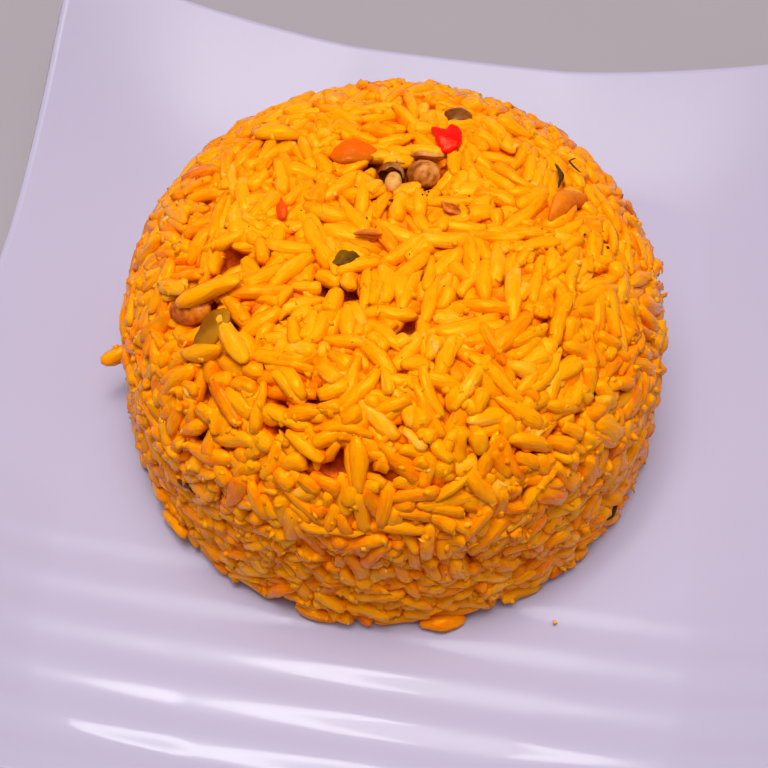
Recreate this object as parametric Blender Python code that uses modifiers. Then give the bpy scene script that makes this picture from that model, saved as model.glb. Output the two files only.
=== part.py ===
"""Rice with pigeon peas: yellow rice turned out of a round mould onto a small square plate.

Metres, +Z up. The origin is under the middle of the plate, on the surface that the plate stands on.
The plate's sides run along X and Y, and its ripples lie along the front side, which faces -Y.
A place on the mound is given by its run, the way down from the middle of the top along the face,
by its bearing, the angle round the mound from +X, and by its depth under the face. A piece there
is turned by its heading, the angle of its length from level towards downhill.
"""
import math
import random

import bmesh
import bpy
import numpy as np
from mathutils import Matrix, Vector

MM = 0.001
GAP = 0.3 * MM

# Plate: square, with slightly hollow sides, a flat middle, raised corners and a lower front side.
PLATE_HALF = 86.0 * MM
SIDE_HOLLOW = 2.5 * MM
CORNER_DRAW_IN = 0.022
CORNER_SHARPNESS = 12
WALL = 3.6 * MM
FLOOR_TOP = 5.6 * MM
FLAT_SHARE = 0.66
SIDE_RISE = 8.0 * MM
SIDE_POWER = 1.25
FRONT_EASE = 0.25
CORNER_RISE = 12.3 * MM
CORNER_START = 0.25
CORNER_POWER = 1.3
RIM_BEVEL = 0.9 * MM

# Ripples pressed into the front of the plate, each a shallow trough along X.
RIPPLES = 5
RIPPLE_FRONT = -79.9 * MM
RIPPLE_PITCH = 8.55 * MM
RIPPLE_DEPTH = 0.4 * MM
RIPPLE_STEPS = 4

# Grid lines of the plate, as shares of its half size, and the first one behind the ripples.
GRID_OUT = (0.33, 0.5, FLAT_SHARE, 0.78, 0.88, 0.95, 1.0)
BEHIND_RIPPLES = -0.1

# Foot: a square ring with round corners under the flat middle.
FOOT_HALF = 48.0 * MM
FOOT_WIDTH = 5.0 * MM
FOOT_CORNER = 14.0 * MM
FOOT_INTO_WALL = 0.6 * MM

# Mound: flat top, large rounded shoulder, wall leaning out a little towards the base.
MOUND_X = -2.0 * MM
MOUND_Y = 2.3 * MM
TOP_RADIUS = 48.0 * MM
BASE_RADIUS = 49.5 * MM
MOUND_HEIGHT = 49.4 * MM
SHOULDER = 26.5 * MM

# Boiled grains of rice: their length, and their radius about the long axis.
GRAIN_LENGTH = 8.3 * MM
GRAIN_RADIUS = 1.35 * MM
GRAIN_SPREAD = 0.06
GRAIN_BLUNT = 0.25
GRAIN_SIDES = 5
GRAIN_RINGS = 4

# The face of the mound: grains laid in rows, whose tops are the relief of a solid core.
ROW_APART = 3.7 * MM
GRAINS_APART = 5.3 * MM
SHIFT_SHARE = 0.35
ROW_SHIFT_SHARE = 0.4
LEVEL_SHARE = 0.45
LEAN_SPREAD = 0.08
SUNK_MOST = 1.0 * MM
RELIEF = 2.6 * MM
RELIEF_LEAST = 0.5 * MM
FACE_STEP = 2.9 * MM
WELD = 0.01 * MM

# Every so many grains, one stands proud of the relief as a grain of its own.
PROUD_EVERY = 16
PROUD_LIFT = 0.7 * MM
PROUD_CLEAR = 5.0 * MM

# Grains that stick out at the foot, at the left and at the shoulder:
# run, bearing, heading, lean and depth, in millimetres and degrees.
STRAY_GRAINS = (
    (74.0, 189, 20, 62, -1.6),
    (85.0, -71, 4, 0, -1.5),
    (84.9, -80, -12, 0, -0.8),
    (80.4, -86, 14, 6, -0.2),
    (84.8, -97, 8, 0, -0.7),
    (84.7, -131, -8, 0, -0.9),
    (84.7, 171, 9, 0, -0.8),
    (84.7, 118, -6, 0, -0.9),
    (84.7, 36, 9, 0, -0.8),
    (51.9, 13, 30, 18, 0.5),
    (30.5, 141, 50, 14, 0.5),
    (33.0, 58, -35, 12, 0.5),
)

# Leaf, herb and pepper bits pressed into the face: run, bearing, heading, length and width.
BITS = (
    (9.4, -136, -80, 4.2, 2.6),
    (4.5, -158, -75, 4.6, 1.2),
    (19.3, 177, 60, 2.4, 1.7),
    (30.8, 33, -70, 3.8, 1.6),
    (35.3, 37, 20, 2.4, 2.0),
    (65.5, -129, -18, 4.6, 2.2),
    (79.0, -29, -50, 3.8, 2.0),
)
BIT_THICK = 1.6 * MM
BIT_DEPTH = 0.35

# Peas and what lies with them: run, bearing, heading and depth, then length, width and height.
PEAS = {
    "pea_whole": (13.9, 78, 153, 1.5, 5.7, 5.1, 4.8),
    "pea_back": (29.2, 76, 147, 2.4, 6.4, 5.8, 5.4),
    "pea_left": (37.4, -151, -55, 1.5, 8.2, 5.2, 4.6),
    "pea_seed": (10.9, 100, -80, 1.0, 3.9, 2.9, 3.0),
}
HOOD = (12.2, 102, -80, 1.4, 5.9, 4.9, 5.0)
HOOD_WALL = 0.45 * MM
BALL_GRID = (12, 8)
HOOD_GRID = (16, 8)

# Thin pieces: place as above, then length, width, thickness, and the height of their waves.
SLICES = {
    "pepper_orange": (18.3, 122, -165, 0.7, 8.0, 4.6, 1.9, 0.5),
    "pepper_red": (22.2, 74, 80, 0.2, 6.4, 5.2, 1.7, 0.7),
    "onion_left": (35.1, -140, 80, 0.4, 8.4, 5.0, 1.5, 0.6),
    "onion_right": (30.4, 22, 58, 0.3, 9.6, 4.4, 1.5, 0.8),
    "pea_skin": (17.0, 80, 165, 0.0, 5.6, 1.1, 0.6, 0.2),
}
SLICE_GRID = (6, 4)
SLICE_ROUND = 0.42
SLICE_RAGGED = 0.10

RICE_COLOUR = (0.83, 0.36, 0.012)
PLATE_COLOUR = (0.72, 0.69, 0.75)
PEA_COLOUR = (0.27, 0.12, 0.045)
SEED_COLOUR = (0.66, 0.40, 0.14)
ONION_COLOUR = (0.50, 0.22, 0.03)
ORANGE_COLOUR = (0.83, 0.16, 0.01)
RED_COLOUR = (0.80, 0.02, 0.02)

FLAT_TOP = TOP_RADIUS - SHOULDER
ROUND_RUN = SHOULDER * math.pi / 2
WALL_DROP = MOUND_HEIGHT - SHOULDER
FACE_RUN = FLAT_TOP + ROUND_RUN + WALL_DROP
RICE_BASE = FLOOR_TOP + GAP


def clear_scene():
    for thing in list(bpy.data.objects):
        bpy.data.objects.remove(thing, do_unlink=True)


def new_collection(name):
    group = bpy.data.collections.new(name)
    bpy.context.scene.collection.children.link(group)
    return group


def principled(name, colour, roughness, coat=0.0):
    material = bpy.data.materials.new(name)
    material.use_nodes = True
    shader = material.node_tree.nodes["Principled BSDF"]
    shader.inputs["Base Color"].default_value = (*colour, 1.0)
    shader.inputs["Roughness"].default_value = roughness
    shader.inputs["Metallic"].default_value = 0.0
    shader.inputs["Coat Weight"].default_value = coat
    return material


def object_from(bm, name, group, material=None):
    mesh = bpy.data.meshes.new(name)
    bm.to_mesh(mesh)
    bm.free()
    thing = bpy.data.objects.new(name, mesh)
    group.objects.link(thing)
    if material:
        mesh.materials.append(material)
    return thing


def apply_modifiers(thing):
    """Give the object its evaluated mesh and take its modifiers off."""
    bpy.context.view_layer.update()
    evaluated = thing.evaluated_get(bpy.context.evaluated_depsgraph_get())
    mesh = bpy.data.meshes.new_from_object(evaluated)
    thing.modifiers.clear()
    thing.data = mesh


def boolean(thing, operands, operation):
    """Join or cut with a collection, apply it, and remove what the collection held."""
    step = thing.modifiers.new(operation.title(), "BOOLEAN")
    step.operation = operation
    step.operand_type = "COLLECTION"
    step.collection = operands
    step.solver = "EXACT"
    apply_modifiers(thing)
    for operand in list(operands.objects):
        bpy.data.objects.remove(operand, do_unlink=True)


def keep_main_body(thing):
    """Drop loose scraps and fill sealed hollows: only the largest connected surface stays."""
    bm = bmesh.new()
    bm.from_mesh(thing.data)
    waiting = set(bm.faces)
    bodies = []
    while waiting:
        body = [waiting.pop()]
        for face in body:
            near = {other for edge in face.edges for other in edge.link_faces} & waiting
            waiting -= near
            body.extend(near)
        bodies.append(body)
    bodies.sort(key=len, reverse=True)
    scrap = [face for body in bodies[1:] for face in body]
    bmesh.ops.delete(bm, geom=scrap, context="FACES")
    bmesh.ops.remove_doubles(bm, verts=bm.verts, dist=WELD)
    bmesh.ops.dissolve_degenerate(bm, edges=bm.edges, dist=WELD)
    bmesh.ops.triangulate(bm, faces=bm.faces)
    bm.to_mesh(thing.data)
    bm.free()


# Plate ------------------------------------------------------------------------------------------

def ripple(y):
    """Depth of the ripples at y, zero behind the last trough and in front of the first."""
    along = (y - RIPPLE_FRONT) / RIPPLE_PITCH
    if along < 0 or along > RIPPLES:
        return 0.0
    return RIPPLE_DEPTH * (0.5 - 0.5 * math.cos(2 * math.pi * along))


def plate_height(x, y):
    """Height of the plate's upper face above the table."""
    u = abs(x) / PLATE_HALF
    v = abs(y) / PLATE_HALF
    v_side = v * (1 - FRONT_EASE) if y < 0 else v
    spread = (u ** 8 + v_side ** 8) ** 0.125
    side = max(0.0, (spread - FLAT_SHARE) / (1 - FLAT_SHARE))
    corner = max(0.0, (u * v - CORNER_START) / (1 - CORNER_START))
    rise = SIDE_RISE * side ** SIDE_POWER + CORNER_RISE * corner ** CORNER_POWER
    return FLOOR_TOP + rise - ripple(y)


def plate_outline(u, v):
    """Plan position of the grid point u, v, each -1 to 1: hollow sides and round corners."""
    reach = PLATE_HALF * (1 - CORNER_DRAW_IN * abs(u * v) ** CORNER_SHARPNESS)
    x = abs(u) * reach - SIDE_HOLLOW * abs(u) ** 3 * (1 - v * v)
    y = abs(v) * reach - SIDE_HOLLOW * abs(v) ** 3 * (1 - u * u)
    return math.copysign(x, u), math.copysign(y, v)


def grid_lines():
    """Grid lines in X and in Y, close together where the plate bends and across the ripples."""
    across = [-u for u in reversed(GRID_OUT)] + list(GRID_OUT)
    steps = RIPPLES * RIPPLE_STEPS
    waves = [(RIPPLE_FRONT + k * RIPPLE_PITCH / RIPPLE_STEPS) / PLATE_HALF for k in range(steps + 1)]
    return across, [-1.0, -0.965] + waves + [BEHIND_RIPPLES] + list(GRID_OUT)


def plate(group, cutters, material):
    across, along = grid_lines()
    bm = bmesh.new()
    bmesh.ops.create_grid(bm, x_segments=len(across) - 1, y_segments=len(along) - 1, size=1.0)
    for number, vertex in enumerate(bm.verts):
        row, column = divmod(number, len(across))
        x, y = plate_outline(across[column], along[row])
        vertex.co = (x, y, plate_height(x, y))
    dish = object_from(bm, "plate", group, material)
    shell = dish.modifiers.new("Wall", "SOLIDIFY")
    shell.thickness = WALL
    shell.offset = -1.0
    rim = dish.modifiers.new("Rim", "BEVEL")
    rim.width = RIM_BEVEL
    rim.segments = 1
    rim.limit_method = "ANGLE"
    rim.angle_limit = math.radians(50)
    apply_modifiers(dish)
    foot_ring(cutters)
    boolean(dish, cutters, "UNION")


def foot_ring(group):
    """A flat curve with an inner and an outer outline, given its height by extrusion."""
    height = FLOOR_TOP - WALL + FOOT_INTO_WALL
    curve = bpy.data.curves.new("foot outline", "CURVE")
    curve.dimensions = "2D"
    curve.fill_mode = "BOTH"
    curve.extrude = height / 2
    for inset in (0.0, FOOT_WIDTH):
        points = rounded_square(FOOT_HALF - inset, FOOT_CORNER - inset, 4)
        line = curve.splines.new("POLY")
        line.points.add(len(points) - 1)
        for point, place in zip(line.points, points):
            point.co = (*place, 0.0, 1.0)
        line.use_cyclic_u = True
    outline = bpy.data.objects.new("foot outline", curve)
    group.objects.link(outline)
    bpy.context.view_layer.update()
    evaluated = outline.evaluated_get(bpy.context.evaluated_depsgraph_get())
    bm = bmesh.new()
    bm.from_mesh(bpy.data.meshes.new_from_object(evaluated))
    bpy.data.objects.remove(outline, do_unlink=True)
    bmesh.ops.remove_doubles(bm, verts=bm.verts, dist=WELD)
    bmesh.ops.translate(bm, verts=bm.verts, vec=(0, 0, height / 2))
    bmesh.ops.recalc_face_normals(bm, faces=bm.faces)
    object_from(bm, "foot", group)


def rounded_square(half, corner, steps):
    points = []
    for quarter in range(4):
        middle = math.pi / 2 * (quarter + 0.5)
        x = math.copysign(half - corner, math.cos(middle))
        y = math.copysign(half - corner, math.sin(middle))
        for step in range(steps + 1):
            angle = math.pi / 2 * (quarter + step / steps)
            points.append((x + corner * math.cos(angle), y + corner * math.sin(angle)))
    return points


# Places on the mound ----------------------------------------------------------------------------

def face_point(run, bearing, depth=0.0):
    """Point on the mound's face, moved in by depth, and the outward normal there."""
    if run <= FLAT_TOP:
        lean = 0.0
        radius = run
        height = MOUND_HEIGHT
    elif run <= FLAT_TOP + ROUND_RUN:
        lean = (run - FLAT_TOP) / SHOULDER
        radius = FLAT_TOP + SHOULDER * math.sin(lean)
        height = WALL_DROP + SHOULDER * math.cos(lean)
    else:
        lean = math.pi / 2
        height = FACE_RUN - run
        radius = TOP_RADIUS + (BASE_RADIUS - TOP_RADIUS) * (1 - height / WALL_DROP)
    outward = Vector((math.cos(bearing), math.sin(bearing), 0))
    normal = outward * math.sin(lean) + Vector((0, 0, math.cos(lean)))
    middle = Vector((MOUND_X, MOUND_Y, RICE_BASE + height))
    return middle + outward * radius - normal * depth, normal


def axes_at(run, bearing, heading, lean=0.0):
    """Directions of a piece on the face: along its length, across it, and out of the mound."""
    normal = face_point(run, bearing)[1]
    level = Vector((-math.sin(bearing), math.cos(bearing), 0))
    downhill = level.cross(normal)
    flat = level * math.cos(heading) + downhill * math.sin(heading)
    along = flat * math.cos(lean) + normal * math.sin(lean)
    across = normal.cross(flat)
    return along, across, along.cross(across)


def matrix_at(place, heading, lean, depth, half_sizes):
    """Matrix that takes a unit shape to its place, heading and size on the face."""
    run, bearing = place
    turn = Matrix(axes_at(run, bearing, heading, lean)).transposed().to_4x4()
    middle = face_point(run, bearing, depth)[0]
    return Matrix.Translation(middle) @ turn @ Matrix.Diagonal((*half_sizes, 1.0))


def in_metres(run, bearing, heading, depth):
    return (run * MM, math.radians(bearing)), math.radians(heading), depth * MM


# Rice -------------------------------------------------------------------------------------------

class Grain:
    """One grain of rice: its place on the face, its long axis and its size."""

    def __init__(self, run, bearing, heading, lean, depth, size=1.0):
        self.place = (run, bearing)
        self.turn = (heading, lean)
        self.depth = depth
        self.size = size
        self.middle = face_point(run, bearing, depth)[0]
        self.along = axes_at(run, bearing, heading, lean)[0]

    def raised(self, lift):
        return Grain(*self.place, *self.turn, self.depth - lift, self.size)

    def solid(self, group):
        bm = bmesh.new()
        bmesh.ops.create_uvsphere(bm, u_segments=GRAIN_SIDES, v_segments=GRAIN_RINGS, radius=1.0)
        for vertex in bm.verts:
            blunt = 1 + GRAIN_BLUNT * vertex.co.z ** 2
            vertex.co = (vertex.co.z, vertex.co.x * blunt, vertex.co.y * blunt)
        half_sizes = Vector((GRAIN_LENGTH / 2, GRAIN_RADIUS, GRAIN_RADIUS)) * self.size
        bm.transform(matrix_at(self.place, *self.turn, self.depth, half_sizes))
        bmesh.ops.recalc_face_normals(bm, faces=bm.faces)
        return object_from(bm, "grain", group)


def face_grains(draw):
    """Grains spread evenly over the face in rows, each turned, shifted and sunk by a random draw."""
    grains = []
    rows = int(FACE_RUN / ROW_APART)
    for row in range(rows):
        run = (row + 0.5) * FACE_RUN / rows
        count = round(2 * math.pi * (face_point(run, 0)[0].x - MOUND_X) / GRAINS_APART)
        for number in range(max(1, count)):
            shift = number + 0.5 * (row % 2) + draw.uniform(-SHIFT_SHARE, SHIFT_SHARE)
            bearing = 2 * math.pi * shift / max(1, count)
            run_here = run + draw.uniform(-ROW_SHIFT_SHARE, ROW_SHIFT_SHARE) * ROW_APART
            run_here = min(max(run_here, 0.0), FACE_RUN - GRAIN_RADIUS)
            downhill_share = max(0.0, (run_here - FLAT_TOP) / (FACE_RUN - FLAT_TOP))
            heading = draw.uniform(-math.pi / 2, math.pi / 2) * (1 - LEVEL_SHARE * downhill_share)
            depth = GRAIN_RADIUS + draw.uniform(0.0, SUNK_MOST)
            size = draw.gauss(1.0, GRAIN_SPREAD)
            lean = draw.gauss(0.0, LEAN_SPREAD)
            grains.append(Grain(run_here, bearing, heading, lean, depth, size))
    return grains


def relief_height(point, normal, middles, alongs, sizes):
    """How far the grains stand over a point of the core, measured along the normal there."""
    to_middle = middles - point
    out = to_middle @ normal
    sideways = to_middle - np.outer(out, normal)
    half = sizes * (GRAIN_LENGTH / 2 - GRAIN_RADIUS)
    slide = np.clip(-np.einsum("ij,ij->i", sideways, alongs), -half, half)
    apart = np.linalg.norm(sideways + alongs * slide[:, None], axis=1)
    radius = sizes * GRAIN_RADIUS
    roundness = np.sqrt(np.clip(radius ** 2 - apart ** 2, 0.0, None))
    height = out + (alongs @ normal) * slide + roundness
    over = (apart < radius) & (out > 0)
    return max(RELIEF_LEAST, float(np.where(over, height, 0.0).max()))


def mound_core(grains, group, material):
    """A solid of rings of points, each point raised to the grains that lie over it."""
    middles = np.array([grain.middle for grain in grains])
    alongs = np.array([grain.along for grain in grains])
    sizes = np.array([grain.size for grain in grains])
    rows = round(FACE_RUN / FACE_STEP)
    bm = bmesh.new()
    rings = []
    for row in range(rows + 1):
        run = FACE_RUN * row / rows
        radius = face_point(run, 0, RELIEF)[0].x - MOUND_X
        count = max(1, round(2 * math.pi * radius / FACE_STEP))
        ring = []
        for number in range(count):
            bearing = 2 * math.pi * (number + 0.5 * (row % 2)) / count
            inner, normal = face_point(run, bearing, RELIEF)
            height = relief_height(np.array(inner), np.array(normal), middles, alongs, sizes)
            ring.append(bm.verts.new(inner + normal * height))
        rings.append(ring)
    for upper, lower in zip(rings, rings[1:]):
        join_rings(bm, upper, lower)
    bm.faces.new(rings[-1])
    bmesh.ops.recalc_face_normals(bm, faces=bm.faces)
    return object_from(bm, "rice", group, material)


def join_rings(bm, upper, lower):
    """Triangles between two rings of different counts, stepping along whichever is behind."""
    high, low = 0, 0
    high_end = len(upper) if len(upper) > 1 else 0
    while high < high_end or low < len(lower):
        a = upper[high % len(upper)]
        b = lower[low % len(lower)]
        if low == len(lower) or (high < high_end and (high + 1) * len(lower) < (low + 1) * high_end):
            high += 1
            bm.faces.new((a, b, upper[high % len(upper)]))
        else:
            low += 1
            bm.faces.new((a, b, lower[low % len(lower)]))


def pressed_bit(spec, group):
    """A thin flat bit, most of it under the face."""
    run, bearing, heading, length, width = spec
    place, heading, depth = in_metres(run, bearing, heading, BIT_DEPTH)
    bm = bmesh.new()
    bmesh.ops.create_cube(bm, size=2.0)
    half_sizes = (length * MM / 2, width * MM / 2, BIT_THICK / 2)
    bm.transform(matrix_at(place, heading, 0.0, depth, half_sizes))
    object_from(bm, "bit", group)


def proud_grains(grains, toppings, group):
    """Grains of their own on the relief, clear of the toppings."""
    for grain in grains[::PROUD_EVERY]:
        proud = grain.raised(PROUD_LIFT)
        clear = all((proud.middle - topping).length > PROUD_CLEAR for topping in toppings)
        if clear and grain.place[0] < FACE_RUN - 2 * GRAIN_RADIUS:
            proud.solid(group)
    for run, bearing, heading, lean, depth in STRAY_GRAINS:
        place, heading, depth = in_metres(run, bearing, heading, depth)
        Grain(*place, heading, math.radians(lean), depth).solid(group)


# Toppings ---------------------------------------------------------------------------------------

def ball(name, spec, group, material):
    """An egg-shaped piece: a sphere given its length, width and height."""
    place, heading, depth = in_metres(*spec[:4])
    bm = bmesh.new()
    bmesh.ops.create_uvsphere(bm, u_segments=BALL_GRID[0], v_segments=BALL_GRID[1], radius=1.0)
    half_sizes = [size * MM / 2 for size in spec[4:7]]
    bm.transform(matrix_at(place, heading, 0.0, depth, half_sizes))
    thing = object_from(bm, name, group, material)
    thing.data.shade_smooth()
    return thing


def hood(name, spec, group, material):
    """Half of an egg-shaped skin, open on the side where its seed looks out."""
    place, heading, depth = in_metres(*spec[:4])
    bm = bmesh.new()
    bmesh.ops.create_uvsphere(bm, u_segments=HOOD_GRID[0], v_segments=HOOD_GRID[1], radius=1.0)
    front = [vertex for vertex in bm.verts if vertex.co.x > 0.01]
    bmesh.ops.delete(bm, geom=front, context="VERTS")
    half_sizes = [size * MM / 2 for size in spec[4:7]]
    bm.transform(matrix_at(place, heading, 0.0, depth, half_sizes))
    thing = object_from(bm, name, group, material)
    wall = thing.modifiers.new("Skin", "SOLIDIFY")
    wall.thickness = HOOD_WALL
    wall.offset = -1.0
    apply_modifiers(thing)
    return thing


def slice_piece(name, spec, group, material):
    """A thin wavy piece with a rounded outline, both faces split into triangles alike."""
    place, heading, depth = in_metres(*spec[:4])
    length, width, thick, wave = (size * MM for size in spec[4:])
    bm = bmesh.new()
    bmesh.ops.create_grid(bm, x_segments=SLICE_GRID[0], y_segments=SLICE_GRID[1], size=1.0)
    for vertex in bm.verts:
        u, v = vertex.co.x, vertex.co.y
        round_u = u * math.sqrt(1 - SLICE_ROUND * v * v)
        round_v = v * math.sqrt(1 - SLICE_ROUND * u * u)
        edge = 1 + SLICE_RAGGED * math.sin(5 * u + 3 * v)
        height = wave / 2 * (math.cos(3.3 * u + 0.6) + 0.6 * math.sin(2.4 * v + u))
        vertex.co = (round_u * length / 2 * edge, round_v * width / 2 * edge, height)
    bmesh.ops.triangulate(bm, faces=bm.faces, quad_method="FIXED")
    bm.transform(matrix_at(place, heading, 0.0, depth, (1, 1, 1)))
    thing = object_from(bm, name, group, material)
    body = thing.modifiers.new("Thickness", "SOLIDIFY")
    body.thickness = thick
    body.offset = 0.0
    apply_modifiers(thing)
    return thing


def pocket_for(thing, group):
    """A cutter of the piece's shape, larger by the gap all round."""
    bm = bmesh.new()
    bm.from_mesh(thing.data)
    bmesh.ops.recalc_face_normals(bm, faces=bm.faces)
    bm.normal_update()
    moved = [(vertex, vertex.co + vertex.normal * vertex.calc_shell_factor() * GAP) for vertex in bm.verts]
    for vertex, place in moved:
        vertex.co = place
    cutter = object_from(bm, "pocket", group)
    cutter.hide_render = True
    cutter.display_type = "WIRE"


clear_scene()
parts = new_collection("rice with pigeon peas")
tools = new_collection("cutters")
glaze = principled("glazed ceramic", PLATE_COLOUR, 0.12, coat=0.6)
boiled = principled("yellow rice", RICE_COLOUR, 0.45, coat=0.2)
pea_skin = principled("brown pea skin", PEA_COLOUR, 0.3, coat=0.3)
pea_seed = principled("pale pea seed", SEED_COLOUR, 0.4, coat=0.2)
onion = principled("soft onion", ONION_COLOUR, 0.25, coat=0.4)
pepper_orange = principled("orange pepper", ORANGE_COLOUR, 0.3, coat=0.3)
pepper_red = principled("red pepper", RED_COLOUR, 0.3, coat=0.3)

plate(parts, tools, glaze)

finish = {"pea_seed": pea_seed, "pea_skin": pea_skin, "pepper_orange": pepper_orange,
          "pepper_red": pepper_red, "onion_left": onion, "onion_right": onion}
toppings = [ball(name, spec, parts, finish.get(name, pea_skin)) for name, spec in PEAS.items()]
toppings.append(hood("pea_hood", HOOD, parts, pea_skin))
toppings += [slice_piece(name, spec, parts, finish[name]) for name, spec in SLICES.items()]

laid = face_grains(random.Random(7))
rice = mound_core(laid, parts, boiled)
topping_places = [face_point(spec[0] * MM, math.radians(spec[1]))[0]
                  for spec in (*PEAS.values(), HOOD, *SLICES.values())]
proud_grains(laid, topping_places, tools)
for bit in BITS:
    pressed_bit(bit, tools)
boolean(rice, tools, "UNION")
for topping in toppings:
    pocket_for(topping, tools)
boolean(rice, tools, "DIFFERENCE")
keep_main_body(rice)
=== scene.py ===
# %% [markdown]
# # Yellow rice with pigeon peas on a square plate
# Rice is boiled yellow with peas, pepper and onion, pressed into a round mould and turned out
# onto a small porcelain plate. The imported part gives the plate, the heap and each topping as a
# plain solid. Here each one is made again in full detail over the same place, and the heap
# becomes real grains that lie on a core.

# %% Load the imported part
import math

import bmesh
import bpy
import numpy as np
from mathutils import Matrix, Quaternion, Vector
from mathutils.bvhtree import BVHTree


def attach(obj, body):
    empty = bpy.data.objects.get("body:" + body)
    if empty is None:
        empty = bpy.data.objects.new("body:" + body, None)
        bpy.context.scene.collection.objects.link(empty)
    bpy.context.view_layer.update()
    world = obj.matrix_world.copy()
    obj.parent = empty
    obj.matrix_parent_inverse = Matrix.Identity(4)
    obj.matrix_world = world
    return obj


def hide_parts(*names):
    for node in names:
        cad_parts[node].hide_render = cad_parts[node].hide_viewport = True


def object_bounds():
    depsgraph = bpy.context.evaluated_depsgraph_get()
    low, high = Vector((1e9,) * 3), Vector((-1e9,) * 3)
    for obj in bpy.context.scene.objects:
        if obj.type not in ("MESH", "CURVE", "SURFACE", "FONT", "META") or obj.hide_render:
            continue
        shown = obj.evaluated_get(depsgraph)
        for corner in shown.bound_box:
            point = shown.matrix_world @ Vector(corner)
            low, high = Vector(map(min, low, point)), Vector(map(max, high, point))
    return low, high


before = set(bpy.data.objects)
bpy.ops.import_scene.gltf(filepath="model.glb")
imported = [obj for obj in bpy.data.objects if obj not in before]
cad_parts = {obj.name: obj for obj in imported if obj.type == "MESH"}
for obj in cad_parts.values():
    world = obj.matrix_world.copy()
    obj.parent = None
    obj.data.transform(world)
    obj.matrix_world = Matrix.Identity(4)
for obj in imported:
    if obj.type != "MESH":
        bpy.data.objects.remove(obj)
cad_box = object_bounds()
print("CAD box, mm:", [[round(value * 1000, 1) for value in corner] for corner in cad_box])

# %% [markdown]
# ## Sizes
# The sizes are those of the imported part, in metres. A place on the heap is given by its run, the
# way down from the middle of the top along the face, by its bearing, the angle round the heap
# from +X, and by its depth under the face. A piece is turned there by its heading, the angle of
# its length from level towards downhill, and by its lean out of the face.

# %% Sizes of the plate and of the heap
MM = 0.001
FLOOR_TOP = 5.6 * MM
WALL = 3.6 * MM
RICE_BASE = FLOOR_TOP + 0.3 * MM
HEAP_X, HEAP_Y = -2.0 * MM, 2.3 * MM
TOP_RADIUS, BASE_RADIUS = 48.0 * MM, 49.5 * MM
HEAP_HEIGHT, SHOULDER = 49.4 * MM, 26.5 * MM
FLAT_TOP = TOP_RADIUS - SHOULDER
ROUND_RUN = SHOULDER * math.pi / 2
WALL_DROP = HEAP_HEIGHT - SHOULDER
FACE_RUN = FLAT_TOP + ROUND_RUN + WALL_DROP
print("Way down the face, mm:", round(FACE_RUN / MM, 1))

# %% [markdown]
# ## Nodes written as sums
# Node trees are easier to read as formulas. A wire stands for an output socket, and a sum or a
# product of wires adds the Math nodes. Every other node comes from one function, which sets the
# node's own settings first and then its sockets.

# %% Wires and nodes
class Wire:
    """An output socket. Arithmetic on it adds Math nodes to its tree."""

    def __init__(self, tree, socket):
        self.tree = tree
        self.socket = socket

    def maths(self, operation, *values):
        return add(self.tree, "ShaderNodeMath", {"operation": operation}, values)

    def __add__(self, other):
        return self.maths("ADD", self, other)

    def __sub__(self, other):
        return self.maths("SUBTRACT", self, other)

    def __rsub__(self, other):
        return self.maths("SUBTRACT", other, self)

    def __mul__(self, other):
        return self.maths("MULTIPLY", self, other)

    def __truediv__(self, other):
        return self.maths("DIVIDE", self, other)

    def __pow__(self, other):
        return self.maths("POWER", self, other)

    def __abs__(self):
        return self.maths("ABSOLUTE", self)

    __radd__ = __add__
    __rmul__ = __mul__

    def at_least(self, other):
        return self.maths("MAXIMUM", self, other)

    def at_most(self, other):
        return self.maths("MINIMUM", self, other)

    def step(self, low, high):
        """0 below low, 1 above high, and smooth between them."""
        return add(self.tree, "ShaderNodeMapRange", {"interpolation_type": "SMOOTHSTEP"},
                   (self, low, high, 0.0, 1.0))


def add(tree, kind, settings=None, values=(), give=0):
    """Add a node: its settings, then the values or links of its sockets. Gives one output."""
    node = tree.nodes.new(kind)
    for name, value in (settings or {}).items():
        if name == "stops":
            set_stops(node.color_ramp, value)
        else:
            setattr(node, name, value)
    sockets = [socket for socket in node.inputs if socket.enabled]
    if isinstance(values, dict):
        pairs = [(next(s for s in sockets if s.name == name), value) for name, value in values.items()]
    else:
        pairs = zip(sockets, values)
    for socket, value in pairs:
        if isinstance(value, Wire):
            tree.links.new(value.socket, socket)
        elif value is not None:
            socket.default_value = value
    outputs = [socket for socket in node.outputs if socket.enabled]
    if give == "all":
        return [Wire(tree, socket) for socket in outputs]
    return Wire(tree, outputs[give]) if outputs else None


def set_stops(ramp, stops):
    """Give a colour ramp its stops, each a position and a linear colour."""
    while len(ramp.elements) < len(stops):
        ramp.elements.new(1.0)
    for element, (position, colour) in zip(ramp.elements, stops):
        element.position = position
        element.color = (*colour, 1.0)


def vector(tree, x, y, z):
    return add(tree, "ShaderNodeCombineXYZ", None, (x, y, z))


def parts(tree, whole):
    return add(tree, "ShaderNodeSeparateXYZ", None, (whole,), give="all")


def vector_maths(tree, operation, *values):
    return add(tree, "ShaderNodeVectorMath", {"operation": operation}, values)


def scaled(tree, direction, length):
    return add(tree, "ShaderNodeVectorMath", {"operation": "SCALE"},
               {"Vector": direction, "Scale": length})


def here(tree):
    return add(tree, "GeometryNodeInputPosition")


def placed_at(tree, geometry, **sockets):
    """Move the points of a geometry: to a Position or by an Offset, all or those of a Selection."""
    return add(tree, "GeometryNodeSetPosition", None, {"Geometry": geometry, **sockets})


def keep(tree, geometry, name, value):
    """Store a vector on each point under a name."""
    return add(tree, "GeometryNodeStoreNamedAttribute", {"data_type": "FLOAT_VECTOR"},
               {"Geometry": geometry, "Name": name, "Value": value})


def named(tree, name):
    """The vector that each point carries under a name."""
    return add(tree, "GeometryNodeInputNamedAttribute", {"data_type": "FLOAT_VECTOR"}, {"Name": name})


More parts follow.
